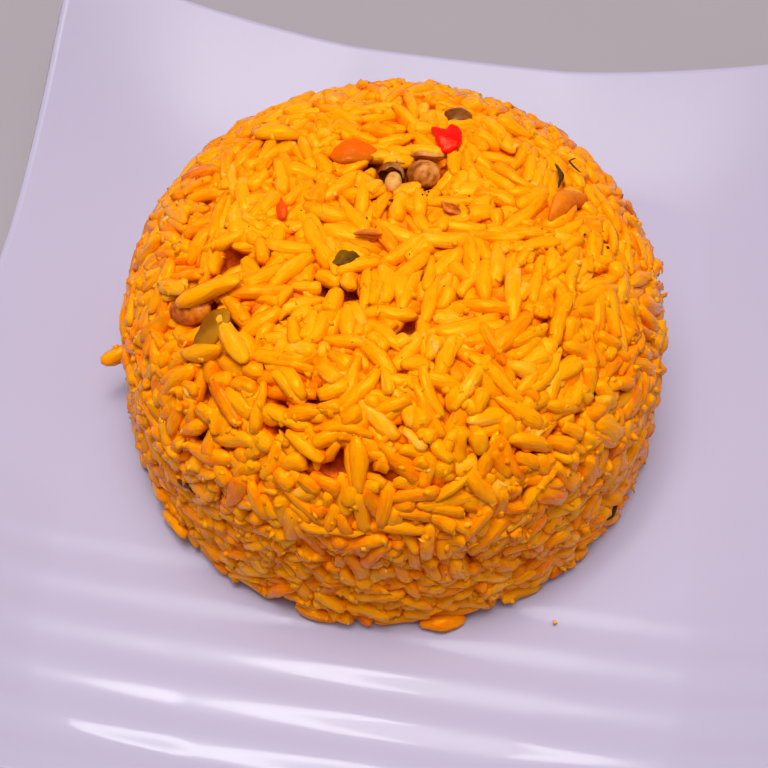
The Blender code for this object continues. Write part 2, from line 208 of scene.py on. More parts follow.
# %% [markdown]
# A Geometry Nodes tree gets named inputs for its sizes. A modifier knows an input by its
# identifier, so the values are set by that. The result becomes a plain mesh straight away.

# %% Trees and plain meshes
def new_tree(name, inputs):
    """A Geometry Nodes tree with these named inputs, and a wire from each of them."""
    tree = bpy.data.node_groups.new(name, "GeometryNodeTree")
    tree.is_modifier = True
    tree.interface.new_socket("Geometry", in_out="OUTPUT", socket_type="NodeSocketGeometry")
    for label, kind in {"Geometry": "Geometry", **inputs}.items():
        tree.interface.new_socket(label, in_out="INPUT", socket_type="NodeSocket" + kind)
    entry = tree.nodes.new("NodeGroupInput")
    return tree, {socket.name: Wire(tree, socket) for socket in entry.outputs if socket.name}


def end_tree(tree, geometry, material):
    """Shade the geometry smooth, give it its material, and let the tree put it out."""
    smooth = add(tree, "GeometryNodeSetShadeSmooth", None, {"Geometry": geometry, "Shade Smooth": True})
    done = add(tree, "GeometryNodeSetMaterial", None, {"Geometry": smooth, "Material": material})
    tree.links.new(done.socket, tree.nodes.new("NodeGroupOutput").inputs[0])


def new_object(name, mesh):
    thing = bpy.data.objects.new(name, mesh)
    bpy.context.scene.collection.objects.link(thing)
    return thing


def settle(thing):
    """Give the object its evaluated mesh and take its modifiers off."""
    bpy.context.view_layer.update()
    depsgraph = bpy.context.evaluated_depsgraph_get()
    mesh = bpy.data.meshes.new_from_object(
        thing.evaluated_get(depsgraph), preserve_all_data_layers=True, depsgraph=depsgraph)
    mesh.name = thing.name
    thing.modifiers.clear()
    thing.data = mesh
    return thing


def grow(name, tree, sizes, mesh):
    """Run a tree on a mesh with these input values, and keep the result as a plain object."""
    thing = new_object(name, mesh)
    step = thing.modifiers.new("Tree", "NODES")
    step.node_group = tree
    for socket in tree.interface.items_tree:
        if socket.in_out == "INPUT" and socket.name in sizes:
            step[socket.identifier] = sizes[socket.name]
    return settle(thing)


def report(thing):
    mesh = thing.data
    mesh.calc_loop_triangles()
    spread = [round(value / MM, 1) for value in thing.dimensions]
    print(f"{thing.name}: {len(mesh.loop_triangles)} triangles, {spread} mm")


# %% [markdown]
# ## Finishes
# Every finish is a Principled shader whose colour, roughness and bump come from noise on Object
# coordinates or from an attribute of the piece. Gloss, soft light inside the food and the tint
# of its shine are the same all over, so they are plain numbers on the shader.

# %% Helpers for finishes
def finish(name, paint, **plain):
    """A node material: paint gives the sockets that vary, plain has the ones that don't."""
    material = bpy.data.materials.new(name)
    material.use_nodes = True
    tree = material.node_tree
    tree.nodes.clear()
    sockets = {**paint(tree), **{label.replace("_", " "): value for label, value in plain.items()}}
    shader = add(tree, "ShaderNodeBsdfPrincipled", None, sockets)
    end = tree.nodes.new("ShaderNodeOutputMaterial")
    tree.links.new(shader.socket, end.inputs["Surface"])
    return material


def place_of(tree):
    return add(tree, "ShaderNodeTexCoord", None, (), give=3)


def noise(tree, size, detail=2.0, rough=0.5, place=None):
    """Noise from 0 to 1 whose patches are about as wide as size, in metres."""
    return add(tree, "ShaderNodeTexNoise", None, {
        "Vector": place or place_of(tree), "Scale": 1 / size, "Detail": detail, "Roughness": rough})


def ramp(tree, share, *stops):
    return add(tree, "ShaderNodeValToRGB", {"stops": stops}, (share,))


def mix(tree, share, first, second):
    return add(tree, "ShaderNodeMix", {"data_type": "RGBA"}, {"Factor": share, "A": first, "B": second})


def bump(tree, height, depth, strength=1.0, under=None):
    sockets = {"Strength": strength, "Distance": depth, "Height": height, "Normal": under}
    return add(tree, "ShaderNodeBump", None, sockets)


def own(tree, name):
    """A number that the piece's own mesh carries."""
    return add(tree, "ShaderNodeAttribute", {"attribute_name": name}, (), give=2)


# %% [markdown]
# ## The plate
# The plate is square, with a flat middle, corners that sweep up and five shallow ripples along
# its front. Its height follows a rule, so a Geometry Nodes grid is lifted by formulas: one for
# its front. Its height follows a rule, so a Geometry Nodes grid is lifted by formulas: one for
# the top, the same one a wall's thickness lower for the underside, with the foot pulled down
# from it, and a rounded rim that is extruded from one to the other in a few steps.

# %% The plate's rule
PLATE = {
    "Half": 85.1 * MM, "Hollow": 2.5 * MM, "Draw In": 0.022, "Floor": FLOOR_TOP, "Flat Share": 0.66,
    "Side Rise": 8.0 * MM, "Front Ease": 0.25, "Corner Rise": 12.3 * MM, "Ripple Front": -79.9 * MM,
    "Ripple Pitch": 8.55 * MM, "Ripple Depth": 0.4 * MM, "Ripples": 5.0, "Wall": WALL,
    "Rim Bulge": 0.7 * MM, "Foot Half": 48.0 * MM, "Foot Width": 5.0 * MM, "Foot Corner": 14.0 * MM,
}
SQUARENESS, SIDE_POWER = 8, 1.25
CORNER_FROM, CORNER_POWER, CORNER_TUCK = 0.25, 1.3, 12
FOOT_INSIDE, FOOT_OUTSIDE = 0.7 * MM, 0.9 * MM


def plate_top(tree, size, u, v):
    """Position of the plate's upper face at u and v, each from -1 to 1."""
    reach = size["Half"] * (1 - size["Draw In"] * abs(u * v) ** CORNER_TUCK)
    x = u * reach - size["Hollow"] * u ** 3 * (1 - v * v)
    y = v * reach - size["Hollow"] * v ** 3 * (1 - u * u)
    across, along = abs(x) / size["Half"], abs(y) / size["Half"]
    side_along = (y.at_least(0.0) - y.at_most(0.0) * (1 - size["Front Ease"])) / size["Half"]
    spread = (across ** SQUARENESS + side_along ** SQUARENESS) ** (1 / SQUARENESS)
    side = ((spread - size["Flat Share"]) / (1 - size["Flat Share"])).at_least(0.0)
    corner = ((across * along - CORNER_FROM) / (1 - CORNER_FROM)).at_least(0.0)
    wave = (y - size["Ripple Front"]) / size["Ripple Pitch"]
    wave = wave.at_least(0.0).at_most(size["Ripples"])
    trough = 0.5 - 0.5 * wave.maths("COSINE", wave * (2 * math.pi))
    rise = size["Side Rise"] * side ** SIDE_POWER + size["Corner Rise"] * corner ** CORNER_POWER
    return x, y, size["Floor"] + rise - size["Ripple Depth"] * trough


def foot_share(size, x, y):
    """1 on the foot, which is a ring on a square with round corners, and 0 away from it."""
    inner = size["Foot Half"] - size["Foot Corner"]
    over_x, over_y = abs(x) - inner, abs(y) - inner
    out_x, out_y = over_x.at_least(0.0), over_y.at_least(0.0)
    away = (out_x * out_x + out_y * out_y) ** 0.5 + over_x.at_least(over_y).at_most(0.0)
    off_ring = abs(away - size["Foot Corner"] + size["Foot Width"] / 2)
    half = size["Foot Width"] / 2
    return 1 - off_ring.step(half - FOOT_INSIDE, half + FOOT_OUTSIDE)


# %% Plate tree
PLATE_GRID = {"Columns": 141, "Rows": 223}
RIM_STEPS, RIM_SQUARENESS = 7, 25
SEAM = 0.01 * MM


def plate_tree():
    sizes = {**{label: "Float" for label in PLATE}, "Columns": "Int", "Rows": "Int", "Glaze": "Material"}
    tree, size = new_tree("square plate", sizes)
    grid = add(tree, "GeometryNodeMeshGrid", None, (2.0, 2.0, size["Columns"], size["Rows"]))
    u, v, _ = parts(tree, here(tree))
    top = placed_at(tree, grid, Position=vector(tree, *plate_top(tree, size, u, v)))
    outward = vector(tree, u ** RIM_SQUARENESS, v ** RIM_SQUARENESS, 0.0)
    top = keep(tree, top, "outward", vector_maths(tree, "NORMALIZE", outward))
    top = keep(tree, top, "upward", add(tree, "GeometryNodeInputNormal"))
    top = keep(tree, top, "rim", here(tree))
    outward, upward = named(tree, "outward"), named(tree, "upward")

    lowered = vector_maths(tree, "SUBTRACT", here(tree), scaled(tree, upward, size["Wall"]))
    x, y, z = parts(tree, lowered)
    lowered = vector(tree, x, y, z * (1 - foot_share(size, x, y)))
    under = placed_at(tree, top, Position=lowered)
    under = add(tree, "GeometryNodeFlipFaces", None, {"Mesh": under})

    # An edge at the border of the grid has a single face.
    shell, edge = top, add(tree, "GeometryNodeInputMeshEdgeNeighbors")
    edge = add(tree, "FunctionNodeCompare", {"data_type": "INT", "operation": "EQUAL"}, (edge, 1))
    for number in range(RIM_STEPS):
        turn = math.pi * (number + 1) / RIM_STEPS
        out = scaled(tree, outward, size["Rim Bulge"] * math.sin(turn))
        down = scaled(tree, upward, size["Wall"] * ((math.cos(turn) - 1) / 2))
        place = vector_maths(tree, "ADD", named(tree, "rim"), vector_maths(tree, "ADD", out, down))
        shell, edge = add(tree, "GeometryNodeExtrudeMesh", {"mode": "EDGES"},
                          {"Mesh": shell, "Selection": edge, "Offset Scale": 0.0}, give="all")[:2]
        shell = placed_at(tree, shell, Selection=edge, Position=place)
    join = tree.nodes.new("GeometryNodeJoinGeometry")
    for part in (shell, under):
        tree.links.new(part.socket, join.inputs[0])
    whole = add(tree, "GeometryNodeMergeByDistance", None,
                {"Geometry": Wire(tree, join.outputs[0]), "Distance": SEAM})
    for label in ("outward", "upward", "rim"):
        whole = add(tree, "GeometryNodeRemoveAttribute", None, {"Geometry": whole, "Name": label})
    end_tree(tree, add(tree, "GeometryNodeRealizeInstances", None, (whole,)), size["Glaze"])
    return tree


# %% [markdown]
# The glaze is white with a faint lilac cast, very smooth, with a slow swell that bends its
# reflections a little, as on fired porcelain.

# %% Glaze and plate
def paint_glaze(tree):
    cloud = noise(tree, 38 * MM, 1.0)
    colour = mix(tree, cloud, (0.440, 0.395, 0.530, 1), (0.460, 0.413, 0.552, 1))
    swell = bump(tree, noise(tree, 9 * MM, 1.0), 0.05 * MM, 0.5)
    return {"Base Color": colour, "Roughness": 0.09 + 0.04 * noise(tree, 3 * MM), "Normal": swell}


glaze = finish("porcelain glaze", paint_glaze, Specular_IOR_Level=0.14,
               Coat_Weight=0.05, Coat_Roughness=0.05)
plate = grow("square_plate", plate_tree(), {**PLATE, **PLATE_GRID, "Glaze": glaze},
             bpy.data.meshes.new("plate seed"))
report(plate)
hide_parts("plate")
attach(plate, "root")

# %% [markdown]
# ## The face of the heap
# The mould left a flat top, a wide round shoulder and a steep wall. All grains and toppings are
# placed by run and bearing on this face.

# %% Points and directions on the face
def face_at(run, bearing):
    """Points of the face, with the outward, level and downhill directions there."""
    run, bearing = np.broadcast_arrays(np.asarray(run, float), np.asarray(bearing, float))
    lean = np.clip((run - FLAT_TOP) / SHOULDER, 0, math.pi / 2)
    down = np.clip(run - FLAT_TOP - ROUND_RUN, 0, None)
    radius = np.minimum(run, FLAT_TOP) + SHOULDER * np.sin(lean)
    radius = radius + (BASE_RADIUS - TOP_RADIUS) * down / WALL_DROP
    height = WALL_DROP + SHOULDER * np.cos(lean) - down
    cos, sin, none = np.cos(bearing), np.sin(bearing), np.zeros_like(run)
    point = np.stack((HEAP_X + cos * radius, HEAP_Y + sin * radius, RICE_BASE + height), -1)
    outward = np.stack((cos * np.sin(lean), sin * np.sin(lean), np.cos(lean)), -1)
    level = np.stack((-sin, cos, none), -1)
    return point, outward, level, np.cross(level, outward)


def axes_at(run, bearing, heading, lean=0.0):
    """Directions of a piece's length, width and height, as the rows of an array."""
    _, outward, level, downhill = face_at(run, bearing)
    heading, lean = np.asarray(heading)[..., None], np.asarray(lean)[..., None]
    flat = level * np.cos(heading) + downhill * np.sin(heading)
    along = flat * np.cos(lean) + outward * np.sin(lean)
    across = np.cross(outward, flat)
    return np.stack((along, across, np.cross(along, across)), -2)


# %% [markdown]
# ## Laying the grains
# Poured grains come to rest where their neighbours let them. Here a fine grid over the heap
# holds, for each cell, how far it is from the nearest thing that has been laid. Many grains are
# tried at once: each starts at the face and is moved in, at a few leans, until the grid says
# that there is room. Pressed rice is soft, so there is room as long as the grain's middle line
# runs into no neighbour by more than a small share of the grain's thickness. The grains that
# end nearest to the face stay, and the grid learns of them. So the face fills first and
# closely, as in a pressed mould, and then the gaps under it.

# %% Free room round the heap
class Room:
    """How far each cell of a grid is from the nearest thing that has been laid, in metres."""
    CELL = 0.4 * MM
    LOW = np.array((-62, -58, 4)) * MM
    SHAPE = (300, 300, 135)
    FAR = 1.9 * MM

    def __init__(self):
        self.gap = np.full(self.SHAPE, self.FAR, np.float32)

    def fill(self, middle, along, half, thick):
        """Lay a rod with round ends in the grid."""
        reach = np.abs(along) * half + thick + self.FAR
        low = np.maximum(((middle - reach - self.LOW) / self.CELL).astype(int), 0)
        high = np.minimum(((middle + reach - self.LOW) / self.CELL).astype(int) + 2, self.SHAPE)
        lines = [self.LOW[k] + self.CELL * np.arange(low[k], high[k]) - middle[k] for k in range(3)]
        x, y, z = np.meshgrid(*lines, indexing="ij", sparse=True)
        slide = np.clip(x * along[0] + y * along[1] + z * along[2], -half, half)
        away = (x - slide * along[0]) ** 2 + (y - slide * along[1]) ** 2 + (z - slide * along[2]) ** 2
        part = self.gap[low[0]:high[0], low[1]:high[1], low[2]:high[2]]
        np.minimum(part, np.sqrt(away) - thick, out=part)

    def at(self, points):
        cell = ((points - self.LOW) / self.CELL + 0.5).astype(np.int32)
        np.clip(cell, 0, np.array(self.SHAPE) - 1, out=cell)
        return self.gap[cell[..., 0], cell[..., 1], cell[..., 2]]


# %% [markdown]
# Most of the grains that are tried are whole, some of them bent, curled or burst open at one
# end, and some are broken, more of them on the wall. Short ones find room more often, so they
# end up filling the gaps between the others. Near the foot grains lie more level, because the
# mould's wall slid past them.

# %% Kinds of grain
KINDS = (
    # name, share, length and its spread, half thickness and its spread, in millimetres
    ("straight", 0.30, 9.5, 1.1, 1.42, 0.10),
    ("bent", 0.28, 9.3, 1.0, 1.40, 0.10),
    ("curled", 0.12, 8.5, 0.8, 1.42, 0.10),
    ("burst", 0.17, 8.9, 0.9, 1.52, 0.12),
    ("broken", 0.13, 5.2, 1.0, 1.38, 0.12),
)
BROKEN = len(KINDS) - 1
BROKEN_ON_WALL = 0.28
LEVEL_SHARE = 0.5
TILT = math.radians(13)
# How far grains may stand out of the face, in millimetres, where less than 0 is inside it: the
# mean, its spread, the least and the most, each for the flat top and what the wall adds to it.
PROUD = ((-0.7, -0.2), (0.55, 0.4), (-2.4, 0.0), (0.3, 0.5))
RUNS = np.linspace(0, FACE_RUN - 1.0 * MM, 200)
GIRTHS = np.cumsum(face_at(RUNS, 0)[0][:, 0] - HEAP_X)


class Draft:
    """Grains that are tried together, as arrays: their kinds, sizes and places on the face."""

    def __init__(self, draw, count):
        self.run = np.interp(draw.uniform(0, GIRTHS[-1], count), GIRTHS, RUNS)
        self.bearing = draw.uniform(-math.pi, math.pi, count)
        wall_share = np.clip((self.run - FLAT_TOP - ROUND_RUN) / WALL_DROP, 0, 1)
        rough = np.clip((self.run - FLAT_TOP) / ROUND_RUN, 0, 1)
        kind = draw.choice(len(KINDS), count, p=[kind[1] for kind in KINDS])
        self.kind = np.where(draw.random(count) < BROKEN_ON_WALL * rough, BROKEN, kind)
        sizes = np.array([kind[2:] for kind in KINDS])[self.kind]
        self.thick = draw.normal(sizes[:, 2], sizes[:, 3]) * MM
        self.half = draw.normal(sizes[:, 0], sizes[:, 1]) * MM / 2 - self.thick
        self.heading = draw.uniform(-math.pi / 2, math.pi / 2, count) * (1 - LEVEL_SHARE * wall_share)
        self.tilt = draw.normal(0, TILT, count) * (1 + rough)
        mean, spread, least, most = (flat + more * rough for flat, more in PROUD)
        self.proud = np.clip(draw.normal(mean, spread), least, most) * MM


# %% [markdown]
# The places of the toppings come first, because grains are laid round them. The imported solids
# of the toppings give the points that grains keep clear of, with more points in the air over
# them, so that they stay in view. Their edges are left out, so that the rice laps over them a
# little. A few gaps, where one sees into the heap, are kept free as well.

# %% Points and gaps that grains keep clear of
OPEN_SHARES = {"pea_whole": 0.95, "pea_seed": 0.85, "pea_hood": 1.0, "pea_skin": 0.8,
               "pepper_red": 0.85, "pepper_orange": 0.75, "onion_left": 0.55, "onion_right": 0.8,
               "pea_left": 1.0, "pea_back": 0.4}
AIR_STEPS, AIR_STEP = 4, 1.2
GAPS_SEEN = (
    # run, bearing and radius, in millimetres and degrees
    (27.4, -162, 2.0), (23.3, -157, 1.2), (30.3, -157, 1.0), (22.2, -133, 1.2), (25.4, -127, 0.9),
    (16.2, -138, 1.5), (15.0, -126, 2.0), (13.8, -114, 1.6), (18.4, -78, 1.2), (17.6, -72, 1.2),
    (22.6, -36, 1.0), (33.6, -103, 1.4), (43.6, -94, 1.9), (43.6, -130, 1.4), (41.4, -110, 1.0),
    (43.6, -84, 1.1), (41.0, -58, 1.0), (44.6, -62, 1.0), (43.8, -101, 1.0), (37.4, -112, 0.9),
    (37.2, -80, 0.8), (44.2, -122, 0.8), (42.2, -144, 0.8), (40.8, -71, 0.7), (44.8, -53, 0.7),
    (31.0, -24, 0.7), (30.6, -13, 0.7), (36.2, 10, 0.7), (24.6, 24, 0.6), (21.4, 46, 0.8),
    (15.8, 110, 0.8), (8.8, 118, 0.8), (11.8, 66, 0.7), (16.6, 68, 0.8), (12.8, -22, 0.6),
    (10.0, 148, 0.6), (52.0, -128, 1.5), (48.0, -118, 1.2),
)
MORE_GAPS, GAP_RUNS, GAP_RADII = 55, (30, 82), (0.4, 1.1)
GAP_SPARE = 0.45 * MM


def all_gaps():
    """Rows of run, bearing and radius of the gaps that were seen and of more round the heap."""
    draw = np.random.default_rng(31)
    seen = [(run * MM, math.radians(bearing), radius * MM) for run, bearing, radius in GAPS_SEEN]
    more = zip(draw.uniform(*GAP_RUNS, MORE_GAPS) * MM, draw.uniform(-math.pi, math.pi, MORE_GAPS),
               draw.uniform(*GAP_RADII, MORE_GAPS) * MM)
    return np.array(seen + list(more))


def barrier_points():
    """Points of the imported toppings, drawn in to their open shares, and more in the air over them."""
    points = []
    for name, share in OPEN_SHARES.items():
        co = np.array([vertex.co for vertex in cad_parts[name].data.vertices])
        co = np.unique(np.round(co, 5), axis=0)
        middle = co.mean(axis=0)
        co = middle + share * (co - middle)
        flat = middle - np.array((HEAP_X, HEAP_Y, 0))
        bearing = math.atan2(flat[1], flat[0])
        runs = np.linspace(0, FACE_RUN, 400)
        run = runs[np.argmin(np.linalg.norm(face_at(runs, bearing)[0] - middle, axis=1))]
        outward = face_at(run, bearing)[1]
        points.extend(co + outward * step * AIR_STEP * MM for step in range(AIR_STEPS))
    return np.concatenate(points)


BITS_IN_RICE = (
    # run, bearing, heading, length and width of the bits that lie in the face
    (9.4, -136, -80, 4.2, 2.6), (4.5, -158, -75, 4.6, 1.2), (19.3, 177, 60, 2.4, 1.7),
    (64.4, -128, -18, 4.6, 2.2), (80.0, -28, -50, 3.8, 2.0), (10.4, 36, -29, 4.4, 2.0),
)
gaps = all_gaps()

# %% [markdown]
# Some grains are laid one by one, before the others: those that stick out at the foot, at the
# left and on the shoulder, and those that lie over the toppings.

# %% Grains laid one by one
STRAY, STRAY_SIZE = len(KINDS), (8.3, 1.35)
BY_HAND = (
    # run, bearing, heading, lean, depth, tone, then length and half thickness where they differ; the
    # grains at the front of the foot have darker tones, as painted shade
    (74.0, 189, 20, 62, -1.6, 0.36), (85.0, -71, 4, 0, -0.3, 0.58), (84.9, -80, -12, 0, 1.4, 0.44),
    (80.4, -86, 14, 6, 0.3, 0.40), (84.8, -97, 8, 0, 0.3, 0.52), (82.7, -133, -14, 0, -0.7, 0.38),
    (84.7, 171, 9, 0, -0.8, 0.34), (84.7, 118, -6, 0, -0.9, 0.30), (84.7, 36, 9, 0, -0.8, 0.34),
    (51.9, 13, 30, 18, 0.5, 0.36), (30.5, 141, 50, 14, 0.5, 0.32), (33.0, 58, -35, 12, 0.5, 0.32),
    (32.2, -150, -80, 5, -0.9, 0.33, 12.8, 1.65),
    (33.2, -133, 8, 4, 0.0, 0.20, 11.0, 1.45),
    (38.6, -137, -53, 4, 0.1, 0.34, 8.7, 1.45),
    (39.0, -159, -57, 6, 0.3, 0.15, 8.0, 1.30),
    (7.4, 66, 54, 0, 1.2, 0.30, 7.2, 1.40),
    (6.0, 90, 88, 0, 1.3, 0.26, 6.2, 1.60),
)

# %% Lay the grains
STEPS_IN = np.arange(0, 5.0, 0.4) * MM
LEANS = np.radians((0, 11, -11, 24, -24))
LEAN_COST, COST_SPREAD, NO_PLACE = 1.4 * MM, 0.25, 9.0
ON_ROD = np.array((-1, -0.5, 0, 0.5, 1))
PRESS = -0.25
TRIED, KEPT, APART = 420, 9, 13 * MM
MOST, DEEPEST = 3000, 4.2 * MM
KEEP_OFF, FOOT_SINK = 1.1 * MM, 0.1 * MM
GAP_DEPTH = 3.0 * MM
# The tone of grains darkens down the shoulder and wall by WALL_SHADE, as painted shade.
TONE, TONE_SPREAD, WALL_SHADE, WALL_SHADE_RISE = 0.33, 0.08, 0.13, 1.6
PALE_TONE, PALE_SHARE = 0.08, 0.07


def rest(room, draft):
    """For each grain of a draft, what its best place costs, how deep it is, and its lean."""
    point, outward, _, _ = face_at(draft.run, draft.bearing)
    best = np.full((3, len(draft.run)), NO_PLACE)
    for turn in LEANS:
        lean = draft.tilt + turn
        along = axes_at(draft.run, draft.bearing, draft.heading, lean)[:, 0]
        start = draft.thick + draft.half * np.abs(np.sin(lean)) - draft.proud
        depths = start[:, None] + STEPS_IN
        middles = point[:, None] - depths[..., None] * outward[:, None]
        on_rod = middles[:, :, None] + (along * draft.half[:, None])[:, None, None] * ON_ROD[:, None]
        free = room.at(on_rod).min(axis=2) > PRESS * draft.thick[:, None]
        low = (draft.half * abs(along[:, 2]) + draft.thick)[:, None]
        free &= middles[..., 2] - low > RICE_BASE - FOOT_SINK
        rows, first = np.arange(len(free)), free.argmax(axis=1)
        cost = np.where(free[rows, first], depths[rows, first] + LEAN_COST * abs(turn), NO_PLACE)
        found = np.stack((cost, depths[rows, first], lean))
        best = np.where(cost < best[0], found, best)
    return best


def lay_grains():
    """Rows of run, bearing, heading, lean, depth, half, thick, kind and tone with painted shade, one for
    each grain.
    """
    draw, room, laid = np.random.default_rng(11), Room(), []
    for point in barrier_points():
        room.fill(point, np.array((1.0, 0, 0)), 0.0, KEEP_OFF)
    for run, bearing, radius in gaps:
        point, outward, _, _ = face_at(run, bearing)
        room.fill(point - GAP_DEPTH / 2 * outward, outward, GAP_DEPTH, radius + GAP_SPARE)
    for run, bearing, heading, length, width in BITS_IN_RICE:
        place = run * MM, math.radians(bearing)
        point, outward, _, _ = face_at(*place)
        for step in range(-1, AIR_STEPS - 1):
            room.fill(point + step * MM * outward, axes_at(*place, math.radians(heading))[0],
                      (length - width) / 2 * MM, 0.4 * width * MM)
    for run, bearing, heading, lean, depth, tone, *size in BY_HAND:
        length, thick = size or STRAY_SIZE
        row = (run * MM, math.radians(bearing), math.radians(heading), math.radians(lean), depth * MM,
               (length / 2 - thick) * MM, thick * MM, STRAY, tone)
        point, outward, _, _ = face_at(*row[:2])
        room.fill(point - row[4] * outward, axes_at(*row[:4])[0], row[5], row[6])
        laid.append(row)
    fresh = True
    while fresh and len(laid) < MOST:
        draft, fresh = Draft(draw, TRIED), []
        cost, depth, lean = rest(room, draft)
        cost = cost + draw.normal(0, COST_SPREAD, TRIED) * MM
        point, outward, _, _ = face_at(draft.run, draft.bearing)
        middles = point - depth[:, None] * outward
        along = axes_at(draft.run, draft.bearing, draft.heading, lean)[:, 0]
        for k in np.argsort(cost):
            if len(fresh) == KEPT or cost[k] > DEEPEST:
                break
            if all(np.abs(middles[k] - other).max() > APART for other in fresh):
                fresh.append(middles[k])
                room.fill(middles[k], along[k], draft.half[k], draft.thick[k])
                rough = min(1, max(0, (draft.run[k] - FLAT_TOP) / ROUND_RUN))
                pale = draw.random() < PALE_SHARE * rough
                tone = PALE_TONE if pale else draw.normal(TONE, TONE_SPREAD)
                # Painted shade: grains down the shoulder and on the wall get a darker tone.
                tone = tone + WALL_SHADE * min(1, WALL_SHADE_RISE * rough)
                laid.append((draft.run[k], draft.bearing[k], draft.heading[k], lean[k], depth[k],
                             draft.half[k], draft.thick[k], draft.kind[k], tone))
    return np.array(laid)


laid = lay_grains()
print("Grains laid:", len(laid), "mean depth, mm:", round(float(laid[:, 4].mean()) / MM, 2))

# %% [markdown]
# ## One grain, and then all of them
# A boiled grain is a blunt spindle, a little bent and flattened. The tree shapes one grain from
# a sphere by formulas, sets a copy on every laid place, and then pushes the whole crowd in and
# out by fine noise, so that no two grains are alike. Each point keeps its place on its grain,
# for the finish. One run of the tree makes all grains of one kind.

# %% Grain tree
LOBES, LOBE_TWIST, LOBE_DEPTH = 3.0, 1.5, 0.11
UNEVEN_PATCHES = ((4.2 * MM, 1.0), (1.1 * MM, 0.5))


def grain_tree():
    labels = ("Length", "Width", "Height", "Bluntness", "Bend", "Curl", "Taper", "Flare", "Uneven")
    sizes = {**{label: "Float" for label in labels}, "Sides": "Int", "Rings": "Int", "Rice": "Material"}
    tree, size = new_tree("rice grains", sizes)
    ball = add(tree, "GeometryNodeMeshUVSphere", None, (size["Sides"], size["Rings"], 1.0))
    x, y, a = parts(tree, here(tree))
    girth = (x * x + y * y).at_least(0.0004) ** 0.5
    lobes = a.maths("COSINE", a.maths("ARCTAN2", y, x) * LOBES + a * LOBE_TWIST)
    girth = girth ** (size["Bluntness"] - 1) * (1 + size["Taper"] * a) * (1 + LOBE_DEPTH * lobes)
    open_end = a.at_least(0.0) ** 3 * size["Flare"]
    across = x * girth * size["Width"] / 2 * (1 + open_end)
    up = y * girth * size["Height"] / 2 * (1 - 0.55 * open_end)
    up = up + size["Bend"] * (0.4 - a * a)
    across = across + size["Curl"] * (a ** 3 - a * 0.6)
    ball = placed_at(tree, ball, Position=vector(tree, a * size["Length"] / 2, across, up))
    ball = keep(tree, ball, "grain place", here(tree))
    crowd = add(tree, "GeometryNodeInstanceOnPoints", None, {
        "Points": size["Geometry"], "Instance": ball,
        "Rotation": add(tree, "FunctionNodeEulerToRotation", None, (named(tree, "turn"),)),
        "Scale": named(tree, "size")})
    crowd = add(tree, "GeometryNodeRealizeInstances", None, (crowd,))
    for patch, share in UNEVEN_PATCHES:
        wobble = add(tree, "ShaderNodeTexNoise", None, {"Scale": 1 / patch, "Detail": 0.0}, give=1)
        wobble = vector_maths(tree, "SUBTRACT", wobble, (0.5, 0.5, 0.5))
        crowd = placed_at(tree, crowd, Offset=scaled(tree, wobble, size["Uneven"] * share))
    end_tree(tree, crowd, size["Rice"])
    return tree


GRAIN_SHAPES = {
    # bluntness, bend and curl in millimetres, taper and flare
    "straight": (0.80, 0.2, 0.1, 0.12, 0.0),
    "bent": (0.78, 0.8, 0.1, -0.10, 0.0),
    "curled": (0.78, 0.35, 1.0, 0.08, 0.15),
    "burst": (0.55, 0.25, 0.2, 0.05, 0.75),
    "broken": (0.38, 0.1, 0.1, 0.18, 0.15),
    "stray": (0.72, 0.3, 0.1, 0.05, 0.0),
}

# %% [markdown]
# The finish of the rice: most grains are a warm yellow, some paler, some more orange, and grains on
# the shoulder and wall are painted darker and more orange as shade. Every point is painted darker and
# redder the deeper it lies under the face, as shade in the hollows between grains. Each is streaked
# along its length, with pale streaks that are partly painted sheen, finely pitted, and wet enough to
# shine. Light goes some way into boiled rice, so it gets subsurface scattering.

# %% Rice finish
STREAK_STRETCH = (0.16, 1.0, 1.0)
STAIN_SHARE, STREAK_SHEEN_SHARE, CLOUD_SHARE, DEPTH_SHADE_SHARE = 0.45, 0.8, 0.4, 0.66


def paint_rice(tree):
    tone, deep = own(tree, "tone"), own(tree, "deep")
    on_grain = add(tree, "ShaderNodeAttribute", {"attribute_name": "grain place"}, (), give=1)
    on_grain = vector_maths(tree, "MULTIPLY", on_grain, STREAK_STRETCH)
    on_grain = vector_maths(tree, "ADD", on_grain, vector(tree, tone * 3.0, tone * 7.0, 0.0))
    # The streaks are relief and colour; their pale lines are partly painted sheen along the grains.
    streak_and_sheen = noise(tree, 0.75 * MM, 3.0, 0.6, on_grain)
    stain, cloud = noise(tree, 1.3 * MM, 3.0), noise(tree, 7 * MM, 1.0)
    # Painted sheen comes in with the streaks, painted shade with the depth under the face.
    share = (tone + STAIN_SHARE * (stain - 0.5) + STREAK_SHEEN_SHARE * (streak_and_sheen - 0.5)
             + CLOUD_SHARE * (cloud - 0.5) + DEPTH_SHADE_SHARE * deep)
    # The palest stop gives pale grains and the painted sheen of the streaks; the darkest stops are painted
    # shade in the hollows.
    colour = ramp(tree, share,
                  (0.00, (0.99, 0.43, 0.05)),
                  (0.20, (0.99, 0.355, 0.002)),
                  (0.42, (0.98, 0.310, 0.0006)),
                  (0.62, (0.94, 0.220, 0.0004)),
                  (0.84, (0.78, 0.130, 0.0004)),
                  (1.00, (0.42, 0.036, 0.0004)))
    skin = bump(tree, streak_and_sheen, 0.30 * MM, 0.8)
    skin = bump(tree, noise(tree, 0.35 * MM, 2.0), 0.04 * MM, 0.4, skin)
    return {"Base Color": colour, "Roughness": 0.08 + 0.2 * stain, "Normal": skin}


rice = finish("boiled yellow rice", paint_rice,
              Specular_IOR_Level=0.36, Specular_Tint=(1.0, 0.62, 0.05, 1), Subsurface_Weight=0.15,
              Subsurface_Radius=(1.0, 0.55, 0.12), Subsurface_Scale=1.1 * MM)

